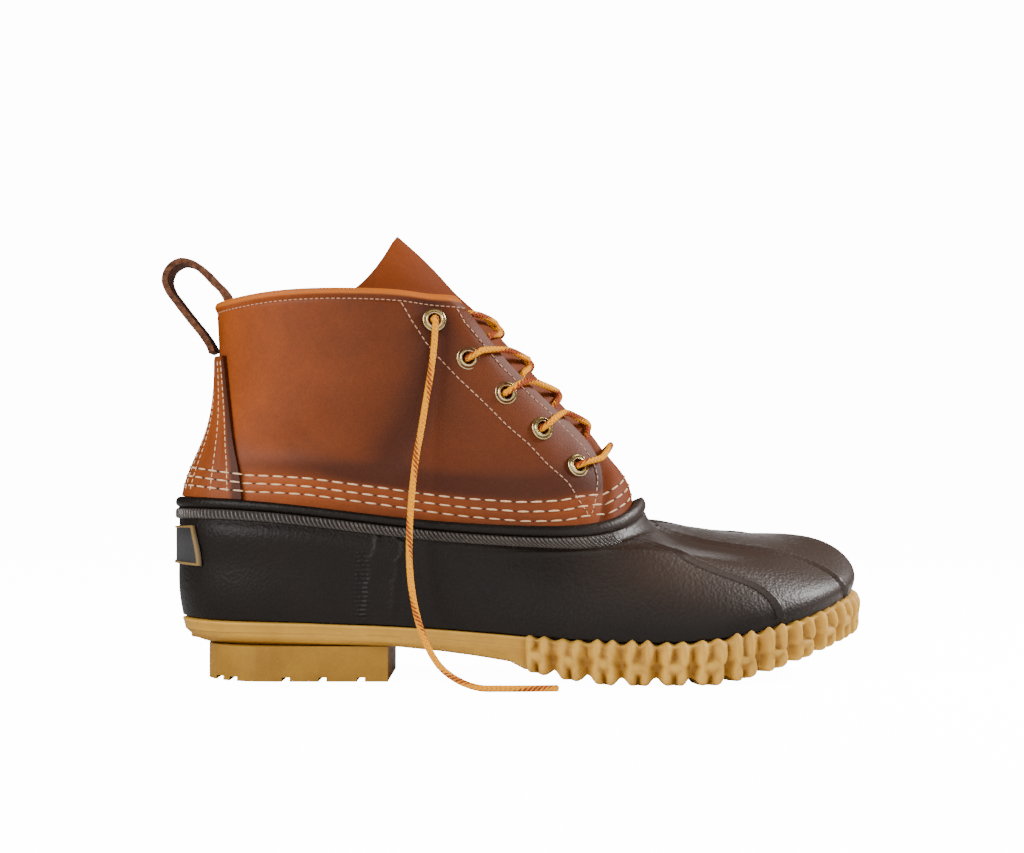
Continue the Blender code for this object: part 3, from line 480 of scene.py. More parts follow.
def rubber_off(s, v):
    """Height of the rubber's face over the skin."""
    rim = rim_level(s)
    off = GAP + RUBBER_WALL - RECESS * (1 - smooth((v - rim + 0.02) / 0.07))
    points = last(s, v)
    ridge = np.zeros_like(s)
    for line in RIB_LINES:
        d = near_line(points, line) / RIB_HALF
        cord = np.power(np.clip(1 - np.square(d), 0, 1), 0.75)
        ridge = np.maximum(ridge, cord) - 0.22 * np.exp(-np.square((d - 1.22) / 0.22))
    ribbed = smooth((v - rim - 0.1) / 0.3) * (1 - smooth((v - BAND + 0.04) / 0.04))
    off = off + RIB_PROUD * ridge * ribbed
    off = off + BAND_PROUD * smooth((v - BAND + 0.03) / 0.05) * (1 - smooth((v - BAND_END) / 0.04))
    bead = np.sqrt(np.clip(1 - np.square((v - BEAD) / 0.175), 0, 1))
    off = off + BEAD_PROUD * bead
    for joint, high in ((JOINT_REAR, 0.00050), (JOINT_FRONT, 0.00042)):
        middle = np.interp(v, [p[0] for p in joint], [p[1] for p in joint])
        run = smooth((v - 0.9) / 0.4) * (1 - smooth((v - 5.5) / 0.2))
        off = off + high * run * np.exp(-np.square((s - middle) / 0.55))
    hollow = swell((s + 74.0) / 26.0) * swell((v - 3.2) / 1.5)
    return off - 0.0007 * hollow


FACE_ROWS = np.concatenate((np.linspace(0.1, 0.6, 5), np.linspace(0.62, 1.5, 20),
                            np.linspace(1.54, 5.54, 64), np.linspace(5.58, 5.70, 6),
                            np.linspace(5.80, 6.1, 4), np.linspace(6.14, 6.5, 14)))
BACK_ROWS = np.array((6.46, 6.3, 6.0, 5.5, 4.8, 4.0, 3.2, 2.4, 1.7, 1.2, 0.9, 0.5, 0.1, 0.1))


EASE_FROM = 3.8            # levels between which the skin turns tightly, under the band
EASE_TO = 5.79


def rubber_way(s, v):
    """Direction in which the rubber stands off the skin, eased where the skin turns tightly."""
    ease = smooth((v - EASE_FROM) / (EASE_TO - EASE_FROM))[:, None]
    eased = unit(facing(s, np.full_like(s, EASE_FROM)) * (1 - ease)
                 + facing(s, np.full_like(s, EASE_TO)) * ease)
    return np.where(((v > EASE_FROM) & (v < EASE_TO))[:, None], eased, facing(s, v))


def rubber_place(u, w):
    """Rubber bottom: up its outer face, over the bead, down inside and shut underneath."""
    s = np.interp(u, (0.0, 0.06, 0.18, 0.23, 0.80, 1.0),
                  (-180.0, -120.0, -92.0, -60.0, 60.0, 180.0))
    count = len(FACE_ROWS) + len(BACK_ROWS) - 1
    row = np.round(w * count).astype(int)
    v = np.concatenate((FACE_ROWS, BACK_ROWS))[row]
    front = (row < len(FACE_ROWS)) | (row == count)
    rim = rim_level(s)
    back = GAP - RECESS * (1 - smooth((v - rim - 0.1) / 0.5))
    points = last(s, v) + rubber_way(s, v) * np.where(front, rubber_off(s, v), back)[:, None]
    # Below the band the outer side of the instep stays full, and slopes evenly down to the wall
    full = swell((points[:, 0] - 0.148) / 0.018) * swell((points[:, 1] + 0.027) / 0.011)
    points[:, 2] += INSTEP_FULL * full * front * smooth((EASE_TO - v) / 0.30)
    return points


rubber = laid_sheet("rubber_bottom_shell", RUBBER_COLUMNS, len(FACE_ROWS) + len(BACK_ROWS) - 1,
                    rubber_place)
weld(rubber)
rubber_points = points_of(rubber)
# The short ribs beside the joint stand in a narrow upright patch
patch_x = (rubber_points[:, 0] - SIDE_RIB_X) / 0.0030
mark(rubber, "side_ribs", (rubber_points[:, 1] < -0.01) * (1 - smooth(np.abs(patch_x) - 0.35))
     * smooth((rubber_points[:, 2] - 0.0265) / 0.002)
     * (1 - smooth((rubber_points[:, 2] - 0.0555) / 0.002)))
mark(rubber, "vamp", smooth((rubber_points[:, 0] - 0.105) / 0.07)
     * smooth((rubber_points[:, 2] - 0.022) / 0.03))

# Moulded rubber's effect: a cloudy bloom in its tone and gloss, and a fine pebbled face
rubber_face, takes, gives = new_group(
    "moulded_rubber_face", (("Colour", "Color"), ("Roughness", "Float")),
    (("Colour", "Color"), ("Roughness", "Float"), ("Height", "Float")))
where = add_node(rubber_face, 'ShaderNodeTexCoord').outputs["Object"]
bloom = add_node(rubber_face, 'ShaderNodeTexNoise', Vector=where, Scale=38.0, Detail=5.0,
                 Roughness=0.6).outputs["Fac"]
tone = ranged(rubber_face, bloom, 0.35, 0.75, 0.82, 1.25)
feed(rubber_face, mixed(rubber_face, 1.0, takes["Colour"], tone, 'MULTIPLY'), gives["Colour"])
shine = ranged(rubber_face, bloom, 0.0, 1.0, -0.07, 0.09)
feed(rubber_face, worked(rubber_face, 'ADD', takes["Roughness"], shine), gives["Roughness"])
pebble = add_node(rubber_face, 'ShaderNodeTexVoronoi', Vector=where, Scale=760.0)
fine = add_node(rubber_face, 'ShaderNodeTexNoise', Vector=where, Scale=420.0, Detail=4.0)
feed(rubber_face, worked(rubber_face, 'ADD', pebble.outputs["Distance"], fine.outputs["Fac"]),
     gives["Height"])


def rubber_finish(name, colour, roughness):
    """Moulded rubber: its material, node tree, shader, group outputs and bump."""
    mat, tree, shader = finish_of(name, colour, roughness)
    shader.inputs["Specular IOR Level"].default_value = 0.36
    face = placed_group(tree, rubber_face, Colour=(*colour, 1.0), Roughness=roughness)
    tree.links.new(face["Colour"], shader.inputs["Base Color"])
    tree.links.new(face["Roughness"], shader.inputs["Roughness"])
    bump = relief(tree, shader, face["Height"], 0.50, 0.00026)
    return mat, tree, shader, face, bump


brown_rubber, tree, shader, face, bump = rubber_finish("brown_rubber", (0.0048, 0.0026, 0.0015),
                                                       0.46)
# Over the toe the rubber is glossier, and painted light makes its colour a lighter brown there
vamp = read_mark(tree, "vamp")
painted_toe_light = mixed(tree, worked(tree, 'MULTIPLY', vamp, 0.6), face["Colour"],
             (0.043, 0.0200, 0.0105, 1.0))
tree.links.new(painted_toe_light, shader.inputs["Base Color"])
tree.links.new(ranged(tree, vamp, 0.0, 1.0, 0.17, 0.50), shader.inputs["Specular IOR Level"])
# Short ribs beside the joint
place = add_node(tree, 'ShaderNodeTexCoord').outputs["Object"]
high = add_node(tree, 'ShaderNodeSeparateXYZ', Vector=place).outputs["Z"]
wave = worked(tree, 'SINE', worked(tree, 'MULTIPLY', high, 2 * math.pi / SIDE_RIB_PITCH))
side_ribs = worked(tree, 'MULTIPLY', wave, read_mark(tree, "side_ribs"))
ribbed = add_node(tree, 'ShaderNodeBump', Height=side_ribs, Strength=0.7, Distance=0.00025)
tree.links.new(ribbed.outputs["Normal"], bump.inputs["Normal"])
dress(rubber, brown_rubber, 50.0)
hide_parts("rubber_bottom")

# The fine upright ribs of the band, open over the toe
KNURL_PITCH = 0.0019
KNURL_ENDS = 27.5          # degrees from the toe at which the ribs start and end
KNURL_LEVELS = (5.63, 5.66, 5.71, 6.04, 6.10, 6.12)
KNURL_HIGH = 0.00105
KNURL_COLUMNS = 6          # grid columns to a rib
band_s = np.linspace(KNURL_ENDS, 360.0 - KNURL_ENDS, 1500)
band_arc = np.concatenate(([0.0], np.cumsum(np.linalg.norm(
    np.diff(skin(band_s, np.full(len(band_s), 5.97), 0.004), axis=0), axis=1))))
KNURLS = int(band_arc[-1] / KNURL_PITCH)


def knurl_place(u, w):
    """Band of small upright ribs, proud of the plain band, tucked in along both edges."""
    s = np.interp(u * band_arc[-1], band_arc, band_s)
    v = np.interp(w, (0.0, 0.12, 0.3, 0.7, 0.88, 1.0), KNURL_LEVELS)
    wave = np.power(np.abs(np.cos(math.pi * u * KNURLS)), 0.9)
    edge = smooth(np.minimum(w, 1 - w) / 0.25)
    ends = smooth(np.minimum(u, 1 - u) * KNURLS / 3)
    off = GAP + RUBBER_WALL + BAND_PROUD - 0.0004 + (0.0001 + KNURL_HIGH * wave) * edge * ends
    return last(s, v) + rubber_way(s, v) * off[:, None]


knurl = laid_sheet("ribbed_band", KNURLS * KNURL_COLUMNS, 6, knurl_place)
thicken(knurl, 0.0006)
band_rubber = rubber_finish("band_rubber", (0.050, 0.0400, 0.0340), 0.26)[0]
dress(knurl, band_rubber, 60.0)


# Outsole
# Moulded gum rubber: a smooth rand round the heel and waist, and a chain of rounded knobs round
# the forefoot, with bars across the tread under it. It is stuck on round the rubber bottom.
RAND_WALL = 0.0022
CHAIN_PROUD = 0.0050
KNOB_PITCH = 0.0144
LUG_DEPTH = 0.0036
MARGIN_THICK = 0.0020
CHAIN_START = 88.0         # degrees from the toe at which the chain ends
SOLE_COLUMNS = 1000
TREAD = {0.0: 0.093, 0.311: 0.092, 0.384: 0.080, 0.430: 0.070, 0.481: 0.056, 0.503: 0.036,
         0.549: 0.017, 0.596: 0.006, 0.623: 0.0, 0.768: 0.0, 0.797: 0.012, 0.822: 0.024,
         0.865: 0.048, 0.910: 0.076, 0.963: 0.108, 0.985: 0.124}
walk_s = np.linspace(0.0, 100.0, 1001)
walk = np.concatenate(([0.0], np.cumsum(np.linalg.norm(
    np.diff(last(-walk_s, np.full(1001, 0.8)), axis=0), axis=1))))


def tread(x):
    """Height of the sole's underside at a distance from the heel centre."""
    return SHAFT_HEIGHT * np.interp((x + HEEL_BACK) / LENGTH, list(TREAD), list(TREAD.values()))


def flat_out(s):
    """Level outward direction at the foot bed edge."""
    out = facing(s, np.zeros_like(s))
    out[..., 2] = 0.0
    return unit(out)


def knob_field(turn, phase, h):
    """Relief of the chain from 0 to 1: phase across one knob, h from its foot to its top."""
    # Two uneven numbers for each knob, so that no two knobs are quite alike
    odd = np.sin(turn * 12.9898 + 4.1) * 43758.5453
    odd = odd - np.floor(odd)
    even = np.sin(turn * 78.233 + 1.7) * 12543.123
    even = even - np.floor(even)
    p = phase + (odd - 0.5) * 0.24 * (h - 0.35) + 0.05 * (even - 0.5)
    wide = 0.460 - 0.08 * np.abs(h - 0.60 - 0.1 * even)
    pad = 0.60 * np.exp(-((np.abs(p) / wide) ** 7) - (np.abs(h - 0.45) / 0.56) ** 6)
    # Two legs at the foot, two arms at the top and a bridge between them, on a soft pad
    legs = np.exp(-((np.abs(p) - 0.20 - 0.05 * even) / 0.125) ** 2
                  - ((h - 0.23 - 0.05 * odd) / 0.29) ** 4)
    spread = 0.16 + 0.14 * odd
    arms = (np.exp(-((np.abs(p) - spread) / 0.12) ** 2 - ((h - 0.78) / 0.27) ** 4)
            * (0.75 + 0.25 * even))
    bridge = np.exp(-((np.abs(p) / 0.27) ** 4) - ((h - 0.50 - 0.08 * (even - odd)) / 0.11) ** 2)
    raised = np.maximum(np.maximum(legs, arms), bridge)
    # A split between the legs, a notch between the arms and a cleft in each side
    split = np.exp(-((p / 0.050) ** 2) - ((h - 0.16) / 0.17) ** 4)
    notch = np.exp(-((p / 0.085) ** 2) - ((h - 0.80) / 0.13) ** 4) * (odd > 0.4)
    cleft = np.exp(-(((np.abs(p) - 0.40) / 0.06) ** 2) - ((h - 0.50) / 0.08) ** 2)
    return np.clip(pad + 0.42 * smooth(raised * 1.25) * (pad > 0.05) - 0.40 * split - 0.34 * notch
                   - 0.30 * cleft, 0.0, 1.0)


# Rows between the stations of the sole's outline, close together over the knobs
SOLE_ROWS = np.array([0, 1, 2, 3, 4, 5, 5.5, 6, 6.2, 6.4, 6.6, 6.8, 7, 7.2, 7.4, 7.6, 7.8, 8, 8.2,
                      8.4, 8.6, 8.8, 9, 9.2, 9.4, 9.6, 9.8, 10, 10.2, 10.4, 10.6, 10.8, 11,
                      11.25, 11.5, 11.75, 12, 12.5, 13, 14], float)


def sole_place(u, w):
    """Outsole from the middle of its floor, over the rim and down to the middle underneath."""
    s = -180.0 + 360.0 * u
    row = np.interp(w, np.linspace(0, 1, len(SOLE_ROWS)), SOLE_ROWS)
    arc = np.interp(np.abs(s), walk_s, walk)
    turn = np.round(arc / KNOB_PITCH)
    phase = arc / KNOB_PITCH - turn
    end_arc = np.interp(CHAIN_START, walk_s, walk)
    chain = smooth((end_arc + 0.0030 - arc) / 0.0030)
    bed = last(s, np.zeros_like(s))
    out = flat_out(s)
    seat = GAP + RUBBER_WALL - RECESS + 1.4 * GAP
    wavy = ((0.15 + 0.13 * np.square(np.sin(turn * 2.3)))
            * np.exp(-np.square((np.abs(phase) - 0.22) / 0.15)) - 0.07)
    rim = rim_level(s) - 0.05 + chain * wavy
    rand = seat + RAND_WALL
    drop = MARGIN_THICK + 1.3 * GAP
    under = tread(bed[:, 0])
    z = bed[:, 2]
    tuck = smooth((np.abs(s) - 135.0) / 40.0)
    gap = LUG_DEPTH * smooth((np.abs(phase) - 0.16) / 0.36) ** 1.5

    def ground(hn, height):
        """Points straight out from the bed's edge, at a height."""
        point = bed + out * np.asarray(hn)[..., None]
        point[:, 2] = height
        return point

    def at(share, off):
        """Points on the wall, at a share of the way up to the rim."""
        return skin(s, rim * share, off)

    one = np.ones_like(s)
    middle_y = (last(s, np.zeros_like(s))[:, 1] + last(-s, np.zeros_like(s))[:, 1]) / 2
    centre_top = np.stack((bed[:, 0], middle_y, z - drop), -1)
    stations = [centre_top, ground(-0.006 * one, z - drop), ground(seat * one, z - drop),
                skin(s, 0.1 * one, seat * one), at(0.55, seat * one), at(1.0, seat * one)]
    plain = [at(1.0, rand * one), at(0.7, rand * one), at(0.35, rand * one),
             ground(0.0036 * one, z + 0.0012), ground(0.0028 - 0.0019 * tuck, z - 0.0012),
             ground(0.0008 - 0.0035 * tuck, under + 0.0010),
             ground(-0.002 - 0.0038 * tuck, under), ground(-0.011 * one, under)]
    steps = (1.0, 0.86, 0.66, 0.42, 0.22, 0.06)
    proud = [CHAIN_PROUD * knob_field(turn, phase, h * one) for h in steps]
    knobbed = [at(1.0, rand + 0.0002 + 0.25 * proud[0]), at(0.78, rand + 0.0004 + 0.75 * proud[1]),
               at(0.42, rand + 0.0008 + 0.9 * proud[2]),
               ground(0.0036 + 1.0 * proud[3], z * 0.6 + under * 0.4 + 0.001),
               ground(0.0032 + 1.05 * proud[4], under + 0.0026 + gap * 0.3),
               ground(0.0014 + 1.0 * proud[5], under + 0.0004 + gap),
               ground(-0.002 * one, under + gap), ground(-0.010 * one, under + gap)]
    mix = chain[:, None]
    stations += [a * (1 - mix) + b * mix for a, b in zip(plain, knobbed)]
    centre_low = np.stack((bed[:, 0], middle_y, under + gap * chain), -1)
    stations.append(centre_low)
    stations = np.array(stations)
    i = np.clip(row.astype(int), 0, len(stations) - 2)
    t = (row - i)[:, None]
    n = np.arange(len(s))
    p1 = stations[i, n]
    p2 = stations[i + 1, n]
    p0 = stations[np.clip(i - 1, 0, len(stations) - 1), n]
    p3 = stations[np.clip(i + 2, 0, len(stations) - 1), n]
    curved = 0.5 * (2 * p1 + (p2 - p0) * t + (2 * p0 - 5 * p1 + 4 * p2 - p3) * t * t
                    + (3 * p1 - p0 - 3 * p2 + p3) * t ** 3)
    straight = p1 * (1 - t) + p2 * t
    bend = ((i >= 6) & (i <= 10))[:, None]
    point = np.where(bend, curved, straight)
    # The full relief is laid on the rows between the stations, where the eye rests on it
    share = np.clip((row - 6.0) / 5.0, 0, 1)
    h = np.interp(share, (0, 0.2, 0.4, 0.6, 0.8, 1.0), steps)
    exact = knob_field(turn, phase, h)
    rough = np.zeros_like(s)
    for j in range(5):
        here = (row >= 6 + j) & (row < 7 + j)
        tt = row - 6 - j
        a = proud[j] / CHAIN_PROUD
        b = proud[j + 1] / CHAIN_PROUD
        rough = np.where(here, a * (1 - tt) + b * tt, rough)
    inside = ((row > 6.0) & (row < 11.0)) * chain
    return point + out * (CHAIN_PROUD * 0.9 * (exact - rough) * inside)[:, None]


outsole = laid_sheet("gum_outsole", SOLE_COLUMNS, len(SOLE_ROWS) - 1, sole_place)
weld(outsole, 0.00002)


# Gum's effect: cloudy, painted shade in its hollows so its high places look paler, and a crepe face
gum_face, takes, gives = new_group("crepe_gum_face", (("Colour", "Color"),),
                                   (("Colour", "Color"), ("Height", "Float")))
where = add_node(gum_face, 'ShaderNodeTexCoord').outputs["Object"]
cloud = add_node(gum_face, 'ShaderNodeTexNoise', Vector=where, Scale=55.0, Detail=6.0,
                 Roughness=0.65).outputs["Fac"]
tone = mixed(gum_face, ranged(gum_face, cloud, 0.30, 0.72), (0.80, 0.74, 0.66, 1.0),
             (1.12, 1.12, 1.10, 1.0))
# Low pointiness darkens the hollows: painted shade
edge = add_node(gum_face, 'ShaderNodeNewGeometry').outputs["Pointiness"]
hollow_shade = mixed(gum_face, ranged(gum_face, edge, 0.44, 0.53), (0.46, 0.36, 0.22, 1.0), tone)
feed(gum_face, mixed(gum_face, 1.0, takes["Colour"], hollow_shade, 'MULTIPLY'), gives["Colour"])
fine = add_node(gum_face, 'ShaderNodeTexNoise', Vector=where, Scale=900.0, Detail=3.0)
coarse = add_node(gum_face, 'ShaderNodeTexNoise', Vector=where, Scale=160.0, Detail=3.0)
feed(gum_face, worked(gum_face, 'ADD', fine.outputs["Fac"], coarse.outputs["Fac"]),
     gives["Height"])


def gum_finish(name, colour):
    """Matt crepe-coloured rubber."""
    mat, tree, shader = finish_of(name, colour, 0.62)
    shader.inputs["Specular IOR Level"].default_value = 0.30
    face = placed_group(tree, gum_face, Colour=(*colour, 1.0))
    tree.links.new(face["Colour"], shader.inputs["Base Color"])
    relief(tree, shader, face["Height"], 0.35, 0.0003)
    return mat


gum = gum_finish("gum_rubber", (0.53, 0.29, 0.040))
dress(outsole, gum, 60.0)
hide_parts("outsole")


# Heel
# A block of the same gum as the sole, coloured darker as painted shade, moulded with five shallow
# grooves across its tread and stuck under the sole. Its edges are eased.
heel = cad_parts["heel"]
heel.data.materials.clear()
# A darker copy of the sole's gum: painted shade
heel.data.materials.append(gum_finish("shaded_heel_gum", (0.285, 0.140, 0.009)))
ease = heel.modifiers.new("eased_edges", 'BEVEL')
ease.width = 0.0007
ease.segments = 2
ease.limit_method = 'ANGLE'
ease.angle_limit = math.radians(35)


# Insole
# A thin felt-faced board cut to the foot bed, lying loose in the rubber bottom.
INSOLE_THICK = 0.0030
INSOLE_IN = 0.0040         # how far its edge stays in from the rubber


def insole_place(u, w):
    """Insole's face from its edge to its middle line, slightly dished under the heel."""
    s = -180.0 + 360.0 * u
    bed = last(s, np.zeros_like(s))
    edge = bed - flat_out(s) * INSOLE_IN
    middle = (edge[:, 1] + (last(-s, np.zeros_like(s)) - flat_out(-s) * INSOLE_IN)[:, 1]) / 2
    y = edge[:, 1] * (1 - w) + middle * w
    raised = INSOLE_THICK + GAP - 0.0002 * smooth(1 - w / 0.06)
    return np.stack((bed[:, 0], y, bed[:, 2] + raised), -1)


insole = laid_sheet("insole_board", 180, 16, insole_place)
weld(insole, 0.00002)
thicken(insole, INSOLE_THICK - 0.0002)
felt, tree, shader = finish_of("insole_felt", (0.30, 0.25, 0.18), 0.95)
where = add_node(tree, 'ShaderNodeTexCoord').outputs["Object"]
nap = add_node(tree, 'ShaderNodeTexNoise', Vector=where, Scale=700.0, Detail=4.0)
relief(tree, shader, nap.outputs["Fac"], 0.5, 0.0003)
dress(insole, felt)
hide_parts("insole")


# Leather quarters
# Both quarters in one skin of tan full-grain leather, stitched down into the rubber and open over
# the tongue. It slouches in a soft fold below the top eyelet, and its collar edge is turned over.
LEATHER_WALL = 0.0022
HOLE_RADIUS = 0.0031       # of the eyelet holes
QUARTER_COLUMNS = 300
# Level and degrees from the toe of the quarter's front edge
EYESTAY = {5.4: 37.0, 6.5: 34.0, 7.6: 24.5, 8.6: 19.0, 10.0: 25.5, 11.5: 34.0, 14.0: 30.0}
# Degrees and level of the eyelets, from the lowest
EYELETS = ((32.8, 8.15), (38.8, 9.31), (45.6, 10.40), (53.3, 11.45), (58.0, 12.69))
# Folds as paths of degrees and level, with half width and height in metres; troughs are negative
FOLDS = (
    (((-54.0, 13.4), (-58.0, 12.6), (-70.0, 11.2), (-82.0, 9.8), (-91.0, 8.8)), 0.0075, -0.0016),
    (((-45.0, 12.2), (-51.0, 11.0), (-59.0, 9.8), (-67.0, 8.9)), 0.0110, 0.0011),
    (((-77.0, 13.0), (-87.0, 11.6), (-99.0, 10.2)), 0.0120, 0.0009),
    (((-30.0, 8.9), (-40.0, 8.4), (-56.0, 8.0), (-75.0, 7.9)), 0.0060, -0.0006),
    (((-110.0, 9.4), (-122.0, 8.7), (-136.0, 8.3)), 0.0070, -0.0005),
    (((60.0, 13.0), (72.0, 11.4), (88.0, 9.8), (98.0, 8.7)), 0.0080, -0.0014),
    (((52.0, 11.6), (62.0, 10.4), (72.0, 9.4)), 0.0110, 0.0010),
    (((40.0, 8.5), (60.0, 8.1), (80.0, 7.9)), 0.0060, -0.0005),
)


def eyestay(v):
    """Degrees to the quarter's front edge."""
    return level_curve(EYESTAY, v)


def near_path(points, path):
    """Distance of each point from a path of degrees and level on the skin."""
    knots = np.linspace(0, 1, len(path))
    fine = np.linspace(0, 1, 40)
    return near_line(points, last(np.interp(fine, knots, [p[0] for p in path]),
                                  np.interp(fine, knots, [p[1] for p in path])))


QUARTER_ROWS = np.concatenate((np.linspace(5.8, 6.6, 8), np.linspace(6.7, 8.0, 26),
                               np.linspace(8.1, 13.2, 72), np.linspace(13.26, 14.0, 20)))
# Rows of stitching as degrees and level, each side; the back ones run right round
ROW_LEVELS = ((12, 7.14), (28, 7.24), (37, 7.37), (45, 7.30), (59, 7.25), (76, 7.33), (94, 7.50),
              (115, 7.56), (138, 7.46), (160, 7.56), (180, 7.60))
ROW_STEP = (0.0, 0.31, 0.62)
QUARTER_SPAN = 38.0        # even steps from one front edge round to the other


def row_level(s, row):
    """Level of one of the three rows that sew the leather to the rubber."""
    at = np.interp(np.abs(s), [p[0] for p in ROW_LEVELS], [p[1] for p in ROW_LEVELS])
    return at - ROW_STEP[row] * np.interp(np.abs(s), (20, 60, 180), (0.85, 0.95, 1.05))


def quarter_angle(u, v):
    """Degrees of a share of the way from the inner front edge round the back to the outer one."""
    edge = eyestay(v)
    near = np.minimum(u, 1 - u) * QUARTER_SPAN
    s = np.where(near < 7, edge + (90 - edge) * near / 7, 90 + 90 * (near - 7) / 12)
    return np.where(u < 0.5, s, -s)


def quarter_off(s, v, points):
    """Relief of the leather over the skin."""
    off = -0.0005 * smooth((7.0 - v) / 0.6)
    for path, wide, deep in FOLDS:
        off = off + deep * swell(near_path(points, path) / wide)
    lip = swell((v - 13.74) / 0.20)
    off = off + 0.0010 * lip - 0.00035 * swell((v - 13.38) / 0.07)
    for row in range(3):
        off = off - 0.00028 * swell((v - row_level(s, row)) / 0.055)
    off = off + 0.0005 * swell((v - row_level(s, 0) - 0.55) / 0.30)
    return off


def quarter_place(u, w):
    """Leather's outer face."""
    v = np.interp(w, np.linspace(0, 1, len(QUARTER_ROWS)), QUARTER_ROWS)
    s = quarter_angle(u, v)
    points = last(s, v)
    # The cut edges stay where the CAD solid has them
    steady = smooth(np.minimum(u, 1 - u) * QUARTER_SPAN / 1.5)
    off = quarter_off(s, v, points)
    return points + facing(s, v) * (off * (0.35 + 0.65 * steady))[:, None]


quarters = laid_sheet("tan_leather_quarters", QUARTER_COLUMNS, len(QUARTER_ROWS) - 1,
                      quarter_place)
quarter_points = points_of(quarters)
# Painted shade and light: darker down the fold, toward the front and just above the sewn rows,
# and lighter toward the back and along the rows
fold_shade = swell(near_path(quarter_points, FOLDS[0][0]) / 0.0075)
fold_shade = np.maximum(fold_shade, swell(near_path(quarter_points, FOLDS[5][0]) / 0.0075))
lit_toward_back = smooth((0.034 - quarter_points[:, 0]) / 0.075)
quarter_step = np.arange(len(quarter_points))
quarter_level = QUARTER_ROWS[quarter_step // (QUARTER_COLUMNS + 1)]
quarter_turn = quarter_angle((quarter_step % (QUARTER_COLUMNS + 1)) / QUARTER_COLUMNS,
                             quarter_level)
above_rows = quarter_level - row_level(quarter_turn, 0)
row_band_shade = 0.40 * swell((above_rows - 0.45) / 0.35) - 0.38 * smooth((0.12 - above_rows) / 0.15)
mark(quarters, "painted_shade_and_dark_tone", np.clip(0.34 * fold_shade + 0.70 * (1 - lit_toward_back) + row_band_shade, 0, 1))
# The turned collar edge is pale where it has been rubbed
mark(quarters, "rubbed", smooth((quarter_level - 13.58) / 0.14))
# Holes for the eyelets: the faces there are picked in face mode and deleted
centres = np.empty(len(quarters.data.polygons) * 3)
quarters.data.polygons.foreach_get("center", centres)
centres = centres.reshape(-1, 3)
inside = np.zeros(len(centres), bool)
for side in (-1, 1):
    for s, v in EYELETS:
        inside |= np.linalg.norm(centres - skin(side * s, v), axis=1) < HOLE_RADIUS
wake(quarters)
bpy.ops.object.mode_set(mode='EDIT')
bpy.ops.mesh.select_mode(type='FACE')
bpy.ops.mesh.select_all(action='DESELECT')
bpy.ops.object.mode_set(mode='OBJECT')
quarters.data.polygons.foreach_set("select", inside)
bpy.ops.object.mode_set(mode='EDIT')
bpy.ops.mesh.delete(type='FACE')
bpy.ops.object.mode_set(mode='OBJECT')
thicken(quarters, LEATHER_WALL)


# Waxed leather's effect: cloudy colour with fine flecks, darkened by painted shade and a darker tone
# where marked, pale where it is rubbed, softly glossy, with a face of pores and creased grain
leather_face, takes, gives = new_group(
    "waxed_leather_face", (("Light", "Color"), ("Dark", "Color"), ("Roughness", "Float")),
    (("Colour", "Color"), ("Roughness", "Float"), ("Height", "Float")))
where = add_node(leather_face, 'ShaderNodeTexCoord').outputs["Object"]
cloud = add_node(leather_face, 'ShaderNodeTexNoise', Vector=where, Scale=26.0, Detail=4.0,
                 Roughness=0.55, Distortion=0.6).outputs["Fac"]
speck = add_node(leather_face, 'ShaderNodeTexNoise', Vector=where, Scale=480.0, Detail=3.0)
between = mixed(leather_face, 0.45, takes["Light"], takes["Dark"])
tone = mixed(leather_face, ranged(leather_face, cloud, 0.32, 0.68), between, takes["Light"])
deep = mixed(leather_face, read_mark(leather_face, "painted_shade_and_dark_tone"), tone, takes["Dark"])
grey = ranged(leather_face, speck.outputs["Fac"], 0.0, 1.0, 0.55, 1.35)
flecks = mixed(leather_face, 0.35, deep, grey, 'MULTIPLY')
pale = mixed(leather_face, read_mark(leather_face, "rubbed"), flecks, (0.40, 0.100, 0.010, 1.0))
feed(leather_face, pale, gives["Colour"])
shine = ranged(leather_face, cloud, 0.0, 1.0, -0.08, 0.10)
feed(leather_face, worked(leather_face, 'ADD', takes["Roughness"], shine), gives["Roughness"])
pores = add_node(leather_face, 'ShaderNodeTexVoronoi', Vector=where, Scale=1150.0)
creases = add_node(leather_face, 'ShaderNodeTexNoise', Vector=where, Scale=330.0, Detail=5.0,
                   Roughness=0.6)
feed(leather_face, worked(leather_face, 'ADD', pores.outputs["Distance"], creases.outputs["Fac"]),
     gives["Height"])


def leather_finish(name, light, dark, roughness):
    """Waxed full-grain leather of a light and a dark tan."""
    mat, tree, shader = finish_of(name, light, roughness)
    shader.inputs["Specular IOR Level"].default_value = 0.18
    face = placed_group(tree, leather_face, Light=(*light, 1.0), Dark=(*dark, 1.0),
                        Roughness=roughness)
    tree.links.new(face["Colour"], shader.inputs["Base Color"])
    tree.links.new(face["Roughness"], shader.inputs["Roughness"])
    relief(tree, shader, face["Height"], 0.30, 0.00016)
    return mat


tan_leather = leather_finish("tan_leather", (0.285, 0.058, 0.0055), (0.050, 0.0090, 0.0008), 0.52)
dress(quarters, tan_leather, 50.0)
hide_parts("leather_upper")


# Tongue
# One piece of the same leather, skived thin, sewn in at its foot and rising to a point above the
# collar. Its edges are cut raw, and it sits back from the quarters so that the lace passes between.
# Level and half width in degrees
TONGUE = {5.7: 46.0, 7.5: 46.0, 9.0: 54.0, 12.0: 66.0, 14.0: 68.0, 17.0: 66.0}
TONGUE_WALL = 0.0018
LACE_DIAMETER = 0.0028
LACE_ROOM = LACE_DIAMETER + 2 * GAP


def tongue_off(s, v):
    """Offset of the tongue's outer face."""
    edge = eyestay(np.minimum(v, 14.0))
    lace = smooth((np.abs(s) - 5.0) / (edge - 7.0)) * smooth((v - 7.1) / 0.75)
    bulge = smooth((edge - 1.0 - np.abs(s)) / 8.0) * smooth((7.9 - v) / 1.2)
    ridge = 0.0010 * swell(s / 12.0) * smooth((v - 8.2) / 0.6) * smooth((14.6 - v) / 1.2)
    return -(LEATHER_WALL + 2 * GAP) - LACE_ROOM * lace + (LEATHER_WALL - GAP) * bulge + ridge


